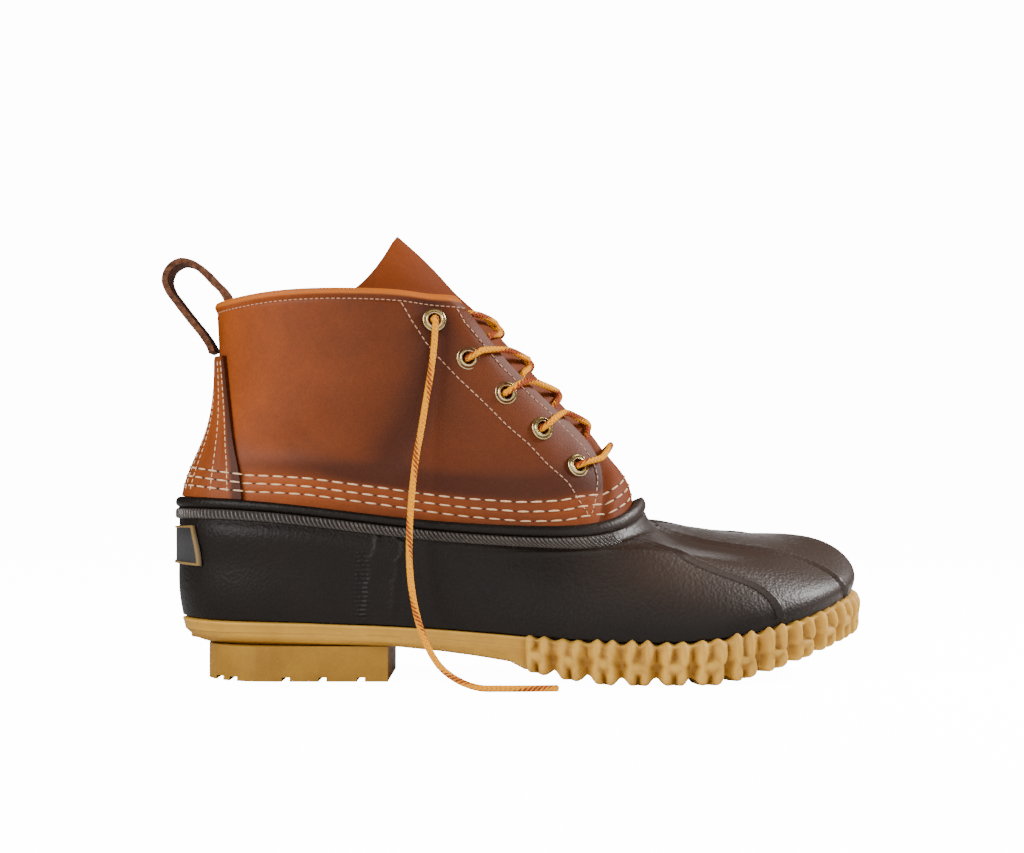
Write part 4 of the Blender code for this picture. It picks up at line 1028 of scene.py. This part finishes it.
def tongue_place(u, w):
    """Tongue's outer face."""
    v = 5.9 + 11.1 * w
    s = (2 * u - 1) * level_curve(TONGUE, v)
    ripple = 0.0005 * np.sin(s / 11.0 + v * 1.7) * smooth((v - 14.2) / 1.0)
    return skin(s, v, tongue_off(s, v) + ripple)


tongue = laid_sheet("leather_tongue", 110, 150, tongue_place)
tongue_points = points_of(tongue)
# Darker lower down, lighter where the tongue rises past the collar
mark(tongue, "painted_shade_and_dark_tone", np.clip(0.62 - 0.3 * smooth((tongue_points[:, 2] - 0.165) / 0.03), 0, 1))
thicken(tongue, TONGUE_WALL)
tongue_leather = leather_finish("tongue_leather", (0.250, 0.050, 0.0040),
                                (0.105, 0.018, 0.0015), 0.66)
dress(tongue, tongue_leather)
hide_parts("tongue")


# Backstay
# A tapered strip of the same leather sewn up the heel seam with four rows down each side. Its cut
# edges are bare and dark.
# Level and half width in degrees
BACKSTAY = {6.6: 44.0, 7.3: 42.0, 8.0: 38.5, 8.7: 34.0, 9.5: 29.5, 10.5: 25.0, 11.6: 22.0}
STRAP_WALL = 0.0026
BACKSTAY_WALL = STRAP_WALL * 0.7
BACKSTAY_COLUMNS = 90


def backstay_half(v):
    """Half width of the backstay in degrees."""
    return level_curve(BACKSTAY, v)


def backstay_place(u, w):
    """Backstay's outer face, eased down along its edges."""
    v = 6.53 + 5.07 * w
    s = 180.0 + (2 * u - 1) * backstay_half(v)
    ease = np.minimum(smooth(np.minimum(u, 1 - u) / 0.05), smooth((1 - w) / 0.03))
    from_edge = np.minimum(u, 1 - u)
    groove = swell((from_edge - 0.10) / 0.02) + swell((from_edge - 0.24) / 0.02)
    return skin(s, v, 2 * GAP + BACKSTAY_WALL - 0.0004 * (1 - ease) - 0.0002 * groove)


backstay = laid_sheet("leather_backstay", BACKSTAY_COLUMNS, 110, backstay_place)
strap_step = np.arange(len(backstay.data.vertices))
strap_u = (strap_step % (BACKSTAY_COLUMNS + 1)) / BACKSTAY_COLUMNS
strap_edge = np.minimum(strap_u, 1 - strap_u)
# Dark along the bare cut edges
mark(backstay, "painted_shade_and_dark_tone", 0.2 + 0.8 * (1 - smooth((strap_edge - 0.03) / 0.03)))
thicken(backstay, BACKSTAY_WALL)
dress(backstay, tan_leather)
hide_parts("backstay")


# Pull loop
# A narrow strap of brown leather, flesh side out, folded over into a loop above the heel: one end
# goes under the backstay, the other inside the collar.
# Strap's middle from under the backstay to inside the collar, x and z as shares of length and height
LOOP_ROUTE = ((-0.1265, 0.853), (-0.1300, 0.869), (-0.141, 0.900), (-0.158, 0.938),
              (-0.178, 0.985), (-0.191, 1.018), (-0.1955, 1.047), (-0.189, 1.078),
              (-0.173, 1.096), (-0.155, 1.090), (-0.138, 1.068), (-0.122, 1.038),
              (-0.1095, 1.015), (-0.1000, 0.980), (-0.0975, 0.940), (-0.0970, 0.905))
LOOP_WIDTH = 0.0190


def rounded(route, per_step):
    """Smooth curve through the route's points."""
    curve = []
    for i in range(len(route) - 1):
        p1 = route[i]
        p2 = route[i + 1]
        p0 = route[i - 1] if i else p1 * 2 - p2
        p3 = route[i + 2] if i + 2 < len(route) else p2 * 2 - p1
        d0 = max(np.linalg.norm(p1 - p0) ** 0.5, 1e-6)
        d1 = max(np.linalg.norm(p2 - p1) ** 0.5, 1e-6)
        d2 = max(np.linalg.norm(p3 - p2) ** 0.5, 1e-6)
        m1 = (p2 - p1) - (p2 - p0) * (d1 / (d0 + d1)) + (p1 - p0) * (d1 / d0)
        m2 = (p2 - p1) - (p3 - p1) * (d1 / (d1 + d2)) + (p3 - p2) * (d1 / d2)
        for j in range(per_step):
            t = j / per_step
            curve.append(p1 * (2 * t ** 3 - 3 * t ** 2 + 1) + m1 * (t ** 3 - 2 * t ** 2 + t)
                         + p2 * (-2 * t ** 3 + 3 * t ** 2) + m2 * (t ** 3 - t ** 2))
    curve.append(route[-1].copy())
    return np.array(curve)


loop_line = rounded([np.array((x * LENGTH, 0.0, z * SHAFT_HEIGHT)) for x, z in LOOP_ROUTE], 8)
loop_ahead = np.gradient(loop_line, axis=0)
loop_across = unit(np.stack((-loop_ahead[:, 2], np.zeros(len(loop_line)), loop_ahead[:, 0]), -1))
loop_shares = np.linspace(0, 1, len(loop_line))


def loop_place(u, w):
    """Strap's outer face along the loop, its edges eased."""
    middle = np.stack([np.interp(u, loop_shares, loop_line[:, k]) for k in range(3)], -1)
    across = unit(np.stack([np.interp(u, loop_shares, loop_across[:, k]) for k in range(3)], -1))
    side = 2 * w - 1
    ease = 0.0005 * np.abs(side) ** 6
    rough = 0.00015 * np.sin(u * 190.0) * (np.abs(side) > 0.9)
    point = middle + across * (STRAP_WALL / 2 - ease)[:, None]
    point[:, 1] += side * LOOP_WIDTH / 2 + np.sign(side) * rough
    return point


loop = laid_sheet("pull_loop_strap", 120, 14, loop_place)
weld(loop, 0.0000001)
# The strap's rear face looks back, away from the boot
if sum(p.normal[0] for p in loop.data.polygons if p.center[0] < -0.055) > 0:
    loop.data.flip_normals()
thicken(loop, STRAP_WALL)
flesh, tree, shader = finish_of("loop_leather", (0.26, 0.125, 0.075), 0.85)
shader.inputs["Specular IOR Level"].default_value = 0.10
where = add_node(tree, 'ShaderNodeTexCoord').outputs["Object"]
mottle = add_node(tree, 'ShaderNodeTexNoise', Vector=where, Scale=420.0, Detail=5.0,
                  Roughness=0.7).outputs["Fac"]
fibre = mixed(tree, ranged(tree, mottle, 0.38, 0.66), (0.050, 0.020, 0.011, 1.0),
              (0.17, 0.066, 0.032, 1.0))
tree.links.new(fibre, shader.inputs["Base Color"])
relief(tree, shader, mottle, 0.6, 0.0003)
dress(loop, flesh)
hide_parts("pull_loop")


# Heel plate
# A small black rubber label moulded on the back, with a raised gilt border and a bare field.
PLATE_HALF = 24.0          # degrees each side of the heel's middle
PLATE_LOW = 2.76
PLATE_HIGH = 5.10
PLATE_COLUMNS = 110
PLATE_ROWS = 70
PLATE_WIDE = 34.0          # size of the label in millimetres
PLATE_TALL = 20.0


def from_border(u, w):
    """Distance in from the label's edge in millimetres."""
    return np.minimum(np.minimum(u, 1 - u) * PLATE_WIDE, np.minimum(w, 1 - w) * PLATE_TALL)


def plate_place(u, w):
    """Plate's face with its border."""
    s = 180.0 + (2 * u - 1) * PLATE_HALF
    v = PLATE_LOW + (PLATE_HIGH - PLATE_LOW) * w
    side = from_border(u, w)
    border = smooth(side / 0.25) * (1 - smooth((side - 1.15) / 0.3))
    edge = smooth(side / 0.3)
    return skin(s, v, 2 * GAP + RUBBER_WALL + 0.0004 + 0.0006 * edge + 0.0006 * border)


plate = laid_sheet("heel_label_plate", PLATE_COLUMNS, PLATE_ROWS, plate_place)
plate_step = np.arange(len(plate.data.vertices))
plate_side = from_border((plate_step % (PLATE_COLUMNS + 1)) / PLATE_COLUMNS,
                         (plate_step // (PLATE_COLUMNS + 1)) / PLATE_ROWS)
mark(plate, "gilt", smooth(plate_side / 0.2) * (1 - smooth((plate_side - 1.1) / 0.25)))
thicken(plate, 0.0009)
label, tree, shader = finish_of("label_black", (0.012, 0.011, 0.010), 0.42)
border = mixed(tree, read_mark(tree, "gilt"), (0.014, 0.013, 0.013, 1.0),
               (0.20, 0.115, 0.030, 1.0))
tree.links.new(border, shader.inputs["Base Color"])
dress(plate, label)
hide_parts("heel_plate")


# Eyelets
# Rolled brass eyelets, five a side, closed over a washer inside the leather. Each shows a bright
# rolled rim with a flat collar round it.
EYELET_SIDES = 40
# Radius and height of the profile, from the washer inside round to the bore
EYELET_PROFILE = ((0.0031, -0.0026), (0.0036, -0.0029), (0.0044, -0.0027), (0.0046, -0.0024),
                  (0.0031, -0.0023), (0.0031, 0.0001), (0.0050, 0.0002), (0.0051, 0.0005),
                  (0.0050, 0.0009), (0.0047, 0.0010), (0.0045, 0.0006), (0.0042, 0.0003),
                  (0.0040, 0.0005), (0.0038, 0.0011), (0.0034, 0.0015), (0.0030, 0.0015),
                  (0.0027, 0.0012), (0.0026, 0.0006), (0.0026, -0.0024), (0.0031, -0.0026))
profile_r = np.array([p[0] for p in EYELET_PROFILE])
profile_h = np.array([p[1] for p in EYELET_PROFILE])
profile_w = np.linspace(0, 1, len(EYELET_PROFILE))


def eyelet_frame(side, k):
    """Centre, outward normal and two directions in the leather at eyelet k from the bottom."""
    s, v = EYELETS[k]
    normal = facing(side * s, v)
    forward = last(side * (s - 1.0), v) - last(side * (s + 1.0), v)
    forward = unit(forward - normal * (forward @ normal))
    return last(side * s, v), normal, forward, np.cross(normal, forward)


brass, tree, shader = finish_of("brass", (0.52, 0.38, 0.17), 0.26, 1.0)
where = add_node(tree, 'ShaderNodeTexCoord').outputs["Object"]
tarnish = add_node(tree, 'ShaderNodeTexNoise', Vector=where, Scale=260.0, Detail=3.0)
brass_tone = mixed(tree, tarnish.outputs["Fac"], (0.30, 0.21, 0.085, 1.0), (0.78, 0.66, 0.38, 1.0))
tree.links.new(brass_tone, shader.inputs["Base Color"])


def eyelet_ring(name, side, k):
    """One rolled eyelet, its profile turned round its hole."""
    centre, normal, forward, across = eyelet_frame(side, k)

    def place(u, w):
        """Point of the profile, turned."""
        turn = 2 * math.pi * u
        r = np.interp(w, profile_w, profile_r)
        h = np.interp(w, profile_w, profile_h)
        way = forward * np.cos(turn)[:, None] + across * np.sin(turn)[:, None]
        return centre + way * r[:, None] + normal * h[:, None]

    ring = laid_sheet(name, EYELET_SIDES, len(EYELET_PROFILE) - 1, place)
    weld(ring)
    return dress(ring, brass, 70.0)


for side, label_side in ((-1, "out"), (1, "in")):
    for k in range(5):
        ring = eyelet_ring("brass_eyelet_%s_%d" % (label_side, k + 1), side, k)
        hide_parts("eyelet_%s_%d" % (label_side, k + 1))


# Lacing
# One round braided cord, yellow with a rust strand, straight across the lowest pair of eyelets and
# crossed above it. Every strand goes in through an eyelet and comes out under the edge above.
LACE_SIDES = 14
PLAIT = 0.0019             # one plait of the braid
WIND = 0.034               # one turn of the rust strand round the cord
# Levels at which strands pass under the quarter's edge, and cross over the tongue
UNDER_EDGE = (8.70, 9.85, 10.85, 12.20)
CROSSING = (8.15, 9.10, 10.40, 11.75, 13.05)
TOP_UNDER = 13.45


def at_eyelet(side, k, out, height):
    """Point over eyelet k, out toward the middle of the boot and height over the leather."""
    centre, normal, forward, across = eyelet_frame(side, k)
    tilt = 0.55 if 0 < k < 4 else 0.0
    way = unit(forward + across * (-side * tilt))
    return centre + way * out + normal * height


def under_run(side, k):
    """Route inside the boot from eyelet k up to the next edge."""
    v = UNDER_EDGE[k]
    low = EYELETS[k]
    edge = eyestay(v)
    mid = (low[0] * 0.5 + (edge + 4.0) * 0.5, low[1] * 0.5 + v * 0.5)
    deep = -(LEATHER_WALL + GAP * 1.5 + LACE_DIAMETER / 2)
    near = (low[0] * 0.7 + mid[0] * 0.3, low[1] * 0.7 + mid[1] * 0.3)
    return [skin(side * near[0], near[1], deep), skin(side * mid[0], mid[1], deep),
            skin(side * (edge + 3.0), v, deep)]


def over_run(side, k, high, top):
    """Route over the tongue from under one edge to the eyelet k across, high for the upper strand."""
    v = UNDER_EDGE[k - 1]
    c = CROSSING[k]
    edge = eyestay(v)
    far = TOP_UNDER if top else EYELETS[k][1]
    lift = 0.0014 * high
    base = -LEATHER_WALL + LACE_DIAMETER / 2
    route = [skin(side * (edge - 1.5), v, -0.0038),
             skin(side * (edge - 5.5), v * 0.75 + c * 0.25, -0.0018),
             skin(side * 6.0, v * 0.3 + c * 0.7, base + lift * 0.95),
             skin(0.0, c, base + lift),
             skin(-side * 6.0, c * 0.75 + far * 0.25, base + 0.0003 + lift * 0.95)]
    e = eyestay(far)
    if top:
        route += [skin(-side * (e - 8.0), far - 0.1, -0.0008), skin(-side * (e - 2.0), far, -0.0034),
                  skin(-side * (e + 4.0), far - 0.1, -0.0040),
                  skin(-side * (EYELETS[k][0] - 7.0), far - 0.45, -0.0040)]
    else:
        route += [skin(-side * (e - 5.0), c * 0.4 + (far + 0.3) * 0.6, 0.0014 + lift * 0.2),
                  skin(-side * (e + 1.5), far + 0.28, 0.0021)]
    return route


def into(side, k):
    """Route from outside, down through eyelet k."""
    return [at_eyelet(side, k, 0.0062, 0.0031), at_eyelet(side, k, 0.0030, 0.0034),
            at_eyelet(side, k, 0.0006, 0.0020), at_eyelet(side, k, -0.0003, -0.0004),
            at_eyelet(side, k, 0.0, -0.0030)]


def leg(side):
    """Route from the lowest eyelet on one side to the top."""
    route = into(side, 0)
    for k in range(1, 5):
        route += under_run(side, k - 1)
        route += over_run(side, k, 1.0 if side > 0 else 0.0, k == 4)
        side = -side
        if k < 4:
            route += into(side, k)
    route += [at_eyelet(side, 4, 0.0010, -0.0034), at_eyelet(side, 4, 0.0, -0.0018)]
    return route


def tube(name, line, radius, sides, steps):
    """Round cord along a line: a grid rolled round it, with its ends closed."""
    lengths = np.concatenate(([0.0], np.cumsum(np.linalg.norm(np.diff(line, axis=0), axis=1))))
    even = np.linspace(0, lengths[-1], steps + 1)
    middle = np.stack([np.interp(even, lengths, line[:, k]) for k in range(3)], -1)
    ahead = unit(np.gradient(middle, axis=0))
    frame_dir = np.zeros_like(middle)
    turn = np.cross(ahead[0], (0.0, 0.0, 1.0))
    if np.linalg.norm(turn) < 0.1:
        turn = np.cross(ahead[0], (0.0, 1.0, 0.0))
    turn = unit(turn)
    for i in range(len(middle)):
        turn = unit(turn - ahead[i] * (turn @ ahead[i]))
        frame_dir[i] = turn
    other = np.cross(ahead, frame_dir)

    def place(u, w):
        """Point of the cord's round face, drawn in at both ends."""
        i = np.clip(np.round(u * steps).astype(int), 0, steps)
        angle = 2 * math.pi * w
        r = np.where((i == 0) | (i == steps), radius * 0.5, radius)
        return (middle[i] + frame_dir[i] * (r * np.cos(angle))[:, None]
                + other[i] * (r * np.sin(angle))[:, None])

    obj = laid_sheet(name, steps, sides, place)
    wake(obj)
    bpy.ops.object.mode_set(mode='EDIT')
    bpy.ops.mesh.select_all(action='SELECT')
    bpy.ops.mesh.remove_doubles(threshold=0.000002)
    bpy.ops.mesh.select_all(action='DESELECT')
    bpy.ops.mesh.select_mode(type='EDGE')
    bpy.ops.mesh.select_non_manifold()
    bpy.ops.mesh.edge_face_add()
    bpy.ops.mesh.select_mode(type='FACE')
    bpy.ops.mesh.select_all(action='SELECT')
    bpy.ops.mesh.normals_make_consistent(inside=False)
    bpy.ops.object.mode_set(mode='OBJECT')
    return obj, middle, float(lengths[-1])


# Braid's effect: a yellow half and a rust half that wind slowly round the cord, in fine plaits
braid_face, takes, gives = new_group("braided_cord_face", (("Length", "Float"), ("Rust", "Float")),
                                     (("Colour", "Color"), ("Height", "Float")))
uv = add_node(braid_face, 'ShaderNodeTexCoord').outputs["UV"]
shares = add_node(braid_face, 'ShaderNodeSeparateXYZ', Vector=uv).outputs
metres = worked(braid_face, 'MULTIPLY', shares["X"], takes["Length"])
along = worked(braid_face, 'MULTIPLY', metres, 2 * math.pi / PLAIT)
around = worked(braid_face, 'MULTIPLY', shares["Y"], 4 * 2 * math.pi)
one_way = worked(braid_face, 'SINE', worked(braid_face, 'ADD', along, around))
other_way = worked(braid_face, 'SINE', worked(braid_face, 'SUBTRACT', along, around))
feed(braid_face, worked(braid_face, 'MAXIMUM', one_way, other_way), gives["Height"])
wind = worked(braid_face, 'ADD', worked(braid_face, 'MULTIPLY', metres, 2 * math.pi / WIND),
              worked(braid_face, 'MULTIPLY', shares["Y"], 2 * math.pi))
half = worked(braid_face, 'ADD', worked(braid_face, 'SINE', wind),
              worked(braid_face, 'MULTIPLY', one_way, 0.35))
level = worked(braid_face, 'MULTIPLY_ADD', half, 0.4, 0.5)
strand = ranged(braid_face, level, worked(braid_face, 'SUBTRACT', takes["Rust"], 0.08),
                worked(braid_face, 'ADD', takes["Rust"], 0.08))
feed(braid_face, mixed(braid_face, strand, (0.30, 0.050, 0.011, 1.0), (0.84, 0.31, 0.001, 1.0)),
     gives["Colour"])


def braid_finish(name, length, rust):
    """Braided cord of a length, with a share of rust strands."""
    mat, tree, shader = finish_of(name, (0.62, 0.33, 0.05), 0.62)
    shader.inputs["Specular IOR Level"].default_value = 0.15
    face = placed_group(tree, braid_face, Length=length, Rust=rust)
    tree.links.new(face["Colour"], shader.inputs["Base Color"])
    relief(tree, shader, face["Height"], 0.8, 0.0004)
    return mat


bar = [at_eyelet(1, 0, 0.0110, 0.0027), skin(10.0, CROSSING[0] - 0.02, 0.0016),
       skin(0.0, CROSSING[0], 0.0012),
       skin(-10.0, CROSSING[0] - 0.02, 0.0016), at_eyelet(-1, 0, 0.0110, 0.0027)]
lacing_line = rounded(leg(1)[::-1] + bar + leg(-1), 8)
lacing, _, lacing_length = tube("braided_lacing", lacing_line, LACE_DIAMETER / 2, LACE_SIDES, 900)
dress(lacing, braid_finish("lace_braid", lacing_length, 0.39), 60.0)
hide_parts("lacing")


# Free end of the lace
# The same cord, out of the top eyelet on the outer side, down over the leather and the rubber and
# a short way along the floor, with a plain sealed end.
# Route as shares of LENGTH, BALL_WIDTH and SHAFT_HEIGHT
LACE_ROUTE = ((0.203, -0.405, 0.885), (0.2015, -0.415, 0.846), (0.1975, -0.425, 0.788),
              (0.191, -0.435, 0.715), (0.1845, -0.445, 0.642), (0.1783, -0.460, 0.579),
              (0.172, -0.485, 0.471), (0.1695, -0.515, 0.375), (0.1705, -0.540, 0.299),
              (0.1747, -0.565, 0.233), (0.184, -0.600, 0.163), (0.1977, -0.635, 0.102),
              (0.216, -0.670, 0.055), (0.2424, -0.710, 0.024), (0.2683, -0.735, 0.0105),
              (0.2946, -0.745, 0.0098), (0.328, -0.745, 0.0098), (0.3615, -0.735, 0.0098),
              (0.3744, -0.730, 0.0098))
free_route = [at_eyelet(-1, 4, 0.0, -0.0018 + GAP * 2), at_eyelet(-1, 4, -0.0003, 0.0012),
              at_eyelet(-1, 4, 0.0, 0.0034)]
free_route += [np.array((x * LENGTH, y * BALL_WIDTH, z * SHAFT_HEIGHT)) for x, y, z in LACE_ROUTE]
free_line = rounded(free_route, 8)
free_end, free_path, free_length = tube("free_lace_end", free_line, LACE_DIAMETER / 2,
                                        LACE_SIDES, 400)
dress(free_end, braid_finish("free_lace_braid", free_length, 0.20), 60.0)
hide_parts("lace_end")


# Stitching
# Three rows of thick cream thread sew the leather into the rubber. Thin tan thread runs in two rows
# beside the eyelets and along the collar, and thin cream thread down the backstay. Each stitch is
# pulled into its holes.
STITCH_POINTS = 600        # points along each path
THICK = 0.00085            # the cream thread, and the tan one
THIN = 0.00055

# Thread's effect: the fine lumps of its twist
thread_face, takes, gives = new_group("twisted_thread_face", (("Scale", "Float"),),
                                      (("Height", "Float"),))
where = add_node(thread_face, 'ShaderNodeTexCoord').outputs["Object"]
twist = add_node(thread_face, 'ShaderNodeTexNoise', Vector=where, Scale=takes["Scale"], Detail=2.0)
feed(thread_face, twist.outputs["Fac"], gives["Height"])


def stitch_finish(name, colour):
    """Twisted thread."""
    mat, tree, shader = finish_of(name, colour, 0.7)
    face = placed_group(tree, thread_face, Scale=1800.0)
    relief(tree, shader, face["Height"], 0.5, 0.0001)
    return mat


cream_thread = stitch_finish("cream_thread", (0.66, 0.44, 0.25))
tan_thread = stitch_finish("tan_thread", (0.46, 0.23, 0.13))
# Dark beads sunk at the stitch holes stand for the shade inside them: painted shade
hole_shade, _, _ = finish_of("stitch_hole_shade", (0.030, 0.012, 0.006), 0.9)


def bead_shape(name, segments, rings):
    """Small round primitive that stitches and holes are stretched from."""
    bpy.ops.object.select_all(action='DESELECT')
    bpy.ops.mesh.primitive_uv_sphere_add(segments=segments, ring_count=rings, radius=1.0,
                                         location=(0.0, 0.0, 0.0))
    obj = bpy.context.object
    obj.name = name
    return obj


def sew(name, path, off, pitch, stitch, thick, thread, hole, sunk):
    """Stitches along a path of degrees and level, and their holes, each joined into one piece.

    off is the height of what is sewn, pitch and stitch the step and the length of a stitch.
    """
    knots = np.linspace(0, 1, len(path))
    fine = np.linspace(0, 1, STITCH_POINTS)
    s = np.interp(fine, knots, [p[0] for p in path])
    v = np.interp(fine, knots, [p[1] for p in path])
    points = last(s, v)
    shape = off(s, v, points) if callable(off) else np.full(STITCH_POINTS, off)
    normals = facing(s, v)
    points = points + normals * shape[:, None]
    arc = np.concatenate(([0.0], np.cumsum(np.linalg.norm(np.diff(points, axis=0), axis=1))))
    count = max(1, int(round(arc[-1] / pitch)))
    step = arc[-1] / count
    for kind, size_along, size_across, size_high, shift, sink, mat in (
            ("thread", stitch / 2, thick / 2, thick * 0.45, 0.5, sunk, thread),
            # The holes are dark beads: painted shade
            ("holes", hole / 2, hole / 2, hole * 0.22, 1.0, 0.00012, hole_shade)):
        shape_obj = bead_shape(name + "_shape", 8 if kind == "thread" else 7,
                               6 if kind == "thread" else 4)
        base = points_of(shape_obj)
        if kind == "thread":
            base = np.sign(base) * np.abs(base) ** np.array((0.7, 1.0, 1.0))
        copies = []
        for i in range(count if kind == "thread" else count - 1):
            at = (i + shift) * step
            middle = np.array([np.interp(at, arc, points[:, k]) for k in range(3)])
            normal = unit(np.array([np.interp(at, arc, normals[:, k]) for k in range(3)]))
            j = min(np.searchsorted(arc, at), STITCH_POINTS - 2)
            ahead = unit(points[j + 1] - points[max(j - 1, 0)])
            across = np.cross(normal, ahead)
            arch = (1 - base[:, 0] ** 2) * (thick * 0.25 if kind == "thread" else 0.0)
            place = (middle - normal * sink + np.outer(base[:, 0] * size_along, ahead)
                     + np.outer(base[:, 1] * size_across, across)
                     + np.outer(base[:, 2] * size_high + arch, normal))
            copy = shape_obj.copy()
            copy.data = shape_obj.data.copy()
            bpy.context.scene.collection.objects.link(copy)
            copy.data.vertices.foreach_set("co", np.ascontiguousarray(place).ravel())
            copies.append(copy)
        bpy.data.objects.remove(shape_obj, do_unlink=True)
        bpy.ops.object.select_all(action='DESELECT')
        for copy in copies:
            copy.select_set(True)
        bpy.context.view_layer.objects.active = copies[0]
        if len(copies) > 1:
            bpy.ops.object.join()
        row = bpy.context.object
        row.name = "%s_%s" % (name, kind)
        dress(row, mat, 60.0)


def round_heel(s):
    """Degrees of a path that runs on round the heel, brought back to the other side's."""
    return np.where(s < -180.0, s + 360.0, s)


def row_top(s, v, points):
    """Height of the leather under a row of stitches, or of the backstay where it lies over it."""
    turned = round_heel(s)
    over = np.abs(np.abs(turned) - 180.0) < backstay_half(v)
    return np.where(over, 2 * GAP + BACKSTAY_WALL, quarter_off(turned, v, points))


def collar_top(s, v, points):
    """Height of the leather under the row along the collar."""
    return quarter_off(round_heel(s), v, points)


def tongue_top(s, v, points):
    """Height of the tongue under a row of stitches."""
    return tongue_off(s, v)


# The rows that sew the leather to the rubber, from one front edge round the heel to the other
foot_turn = eyestay(7.0) - 1.0
for row in range(3):
    turn = np.linspace(-foot_turn, -360.0 + foot_turn, 60)
    sew("foot_row_%d" % (row + 1), list(zip(turn, row_level(round_heel(turn), row))), row_top,
        0.0067, 0.0052, THICK, cream_thread, hole=0.0013, sunk=0.0001)

# The same rows go on over the foot of the tongue
tongue_turn = eyestay(7.0) - 2.0
for row in range(3):
    turn = np.linspace(-tongue_turn, tongue_turn, 40)
    sew("tongue_row_%d" % (row + 1), list(zip(turn, row_level(turn, row))), tongue_top, 0.0067,
        0.0052, THICK, cream_thread, hole=0.0013, sunk=0.00005)

# Degrees and level of the two rows beside the eyelets
EYESTAY_FRONT = ((39.5, 13.35), (43.1, 12.69), (42, 12.01), (40.2, 11.25), (36.7, 10.74),
                 (33.5, 10.2), (29.7, 9.77), (26.6, 9.18), (24, 8.59), (24.4, 8.12), (27.1, 7.67),
                 (36.0, 6.80))
EYESTAY_REAR = ((67.7, 13.35), (68.2, 12.64), (67.1, 11.91), (64.9, 11.44), (61.4, 10.84),
                (56.8, 10.21), (52.4, 9.52), (47.9, 8.97), (44.7, 8.37), (40.6, 7.76),
                (39, 7.2), (37.1, 6.79))
for side, label_side in ((-1, "out"), (1, "in")):
    for label_row, path in (("front", EYESTAY_FRONT), ("rear", EYESTAY_REAR)):
        sew("eyestay_%s_%s" % (label_row, label_side), [(side * s, v) for s, v in path],
            quarter_off, 0.0028, 0.0023, THIN, tan_thread, hole=0.0009, sunk=0.00008)
    for share, top_level in ((0.88, 11.45), (0.70, 11.45), (0.40, 10.4), (0.27, 10.4)):
        levels = np.linspace(6.75, top_level, 14)
        path = [(180.0 + side * share * backstay_half(v), v) for v in levels]
        sew("backstay_%s_%d" % (label_side, int(share * 100)), path,
            2 * GAP + BACKSTAY_WALL - 0.0001, 0.0029, 0.0024, THIN, cream_thread, hole=0.0009,
            sunk=0.00005)

# One row along the collar, under its turned edge
collar_path = [(-s, 13.40) for s in np.linspace(33.0, 327.0, 60)]
sew("collar_row", collar_path, collar_top, 0.0024, 0.0019, 0.00050, tan_thread, hole=0.0008,
    sunk=0.00006)
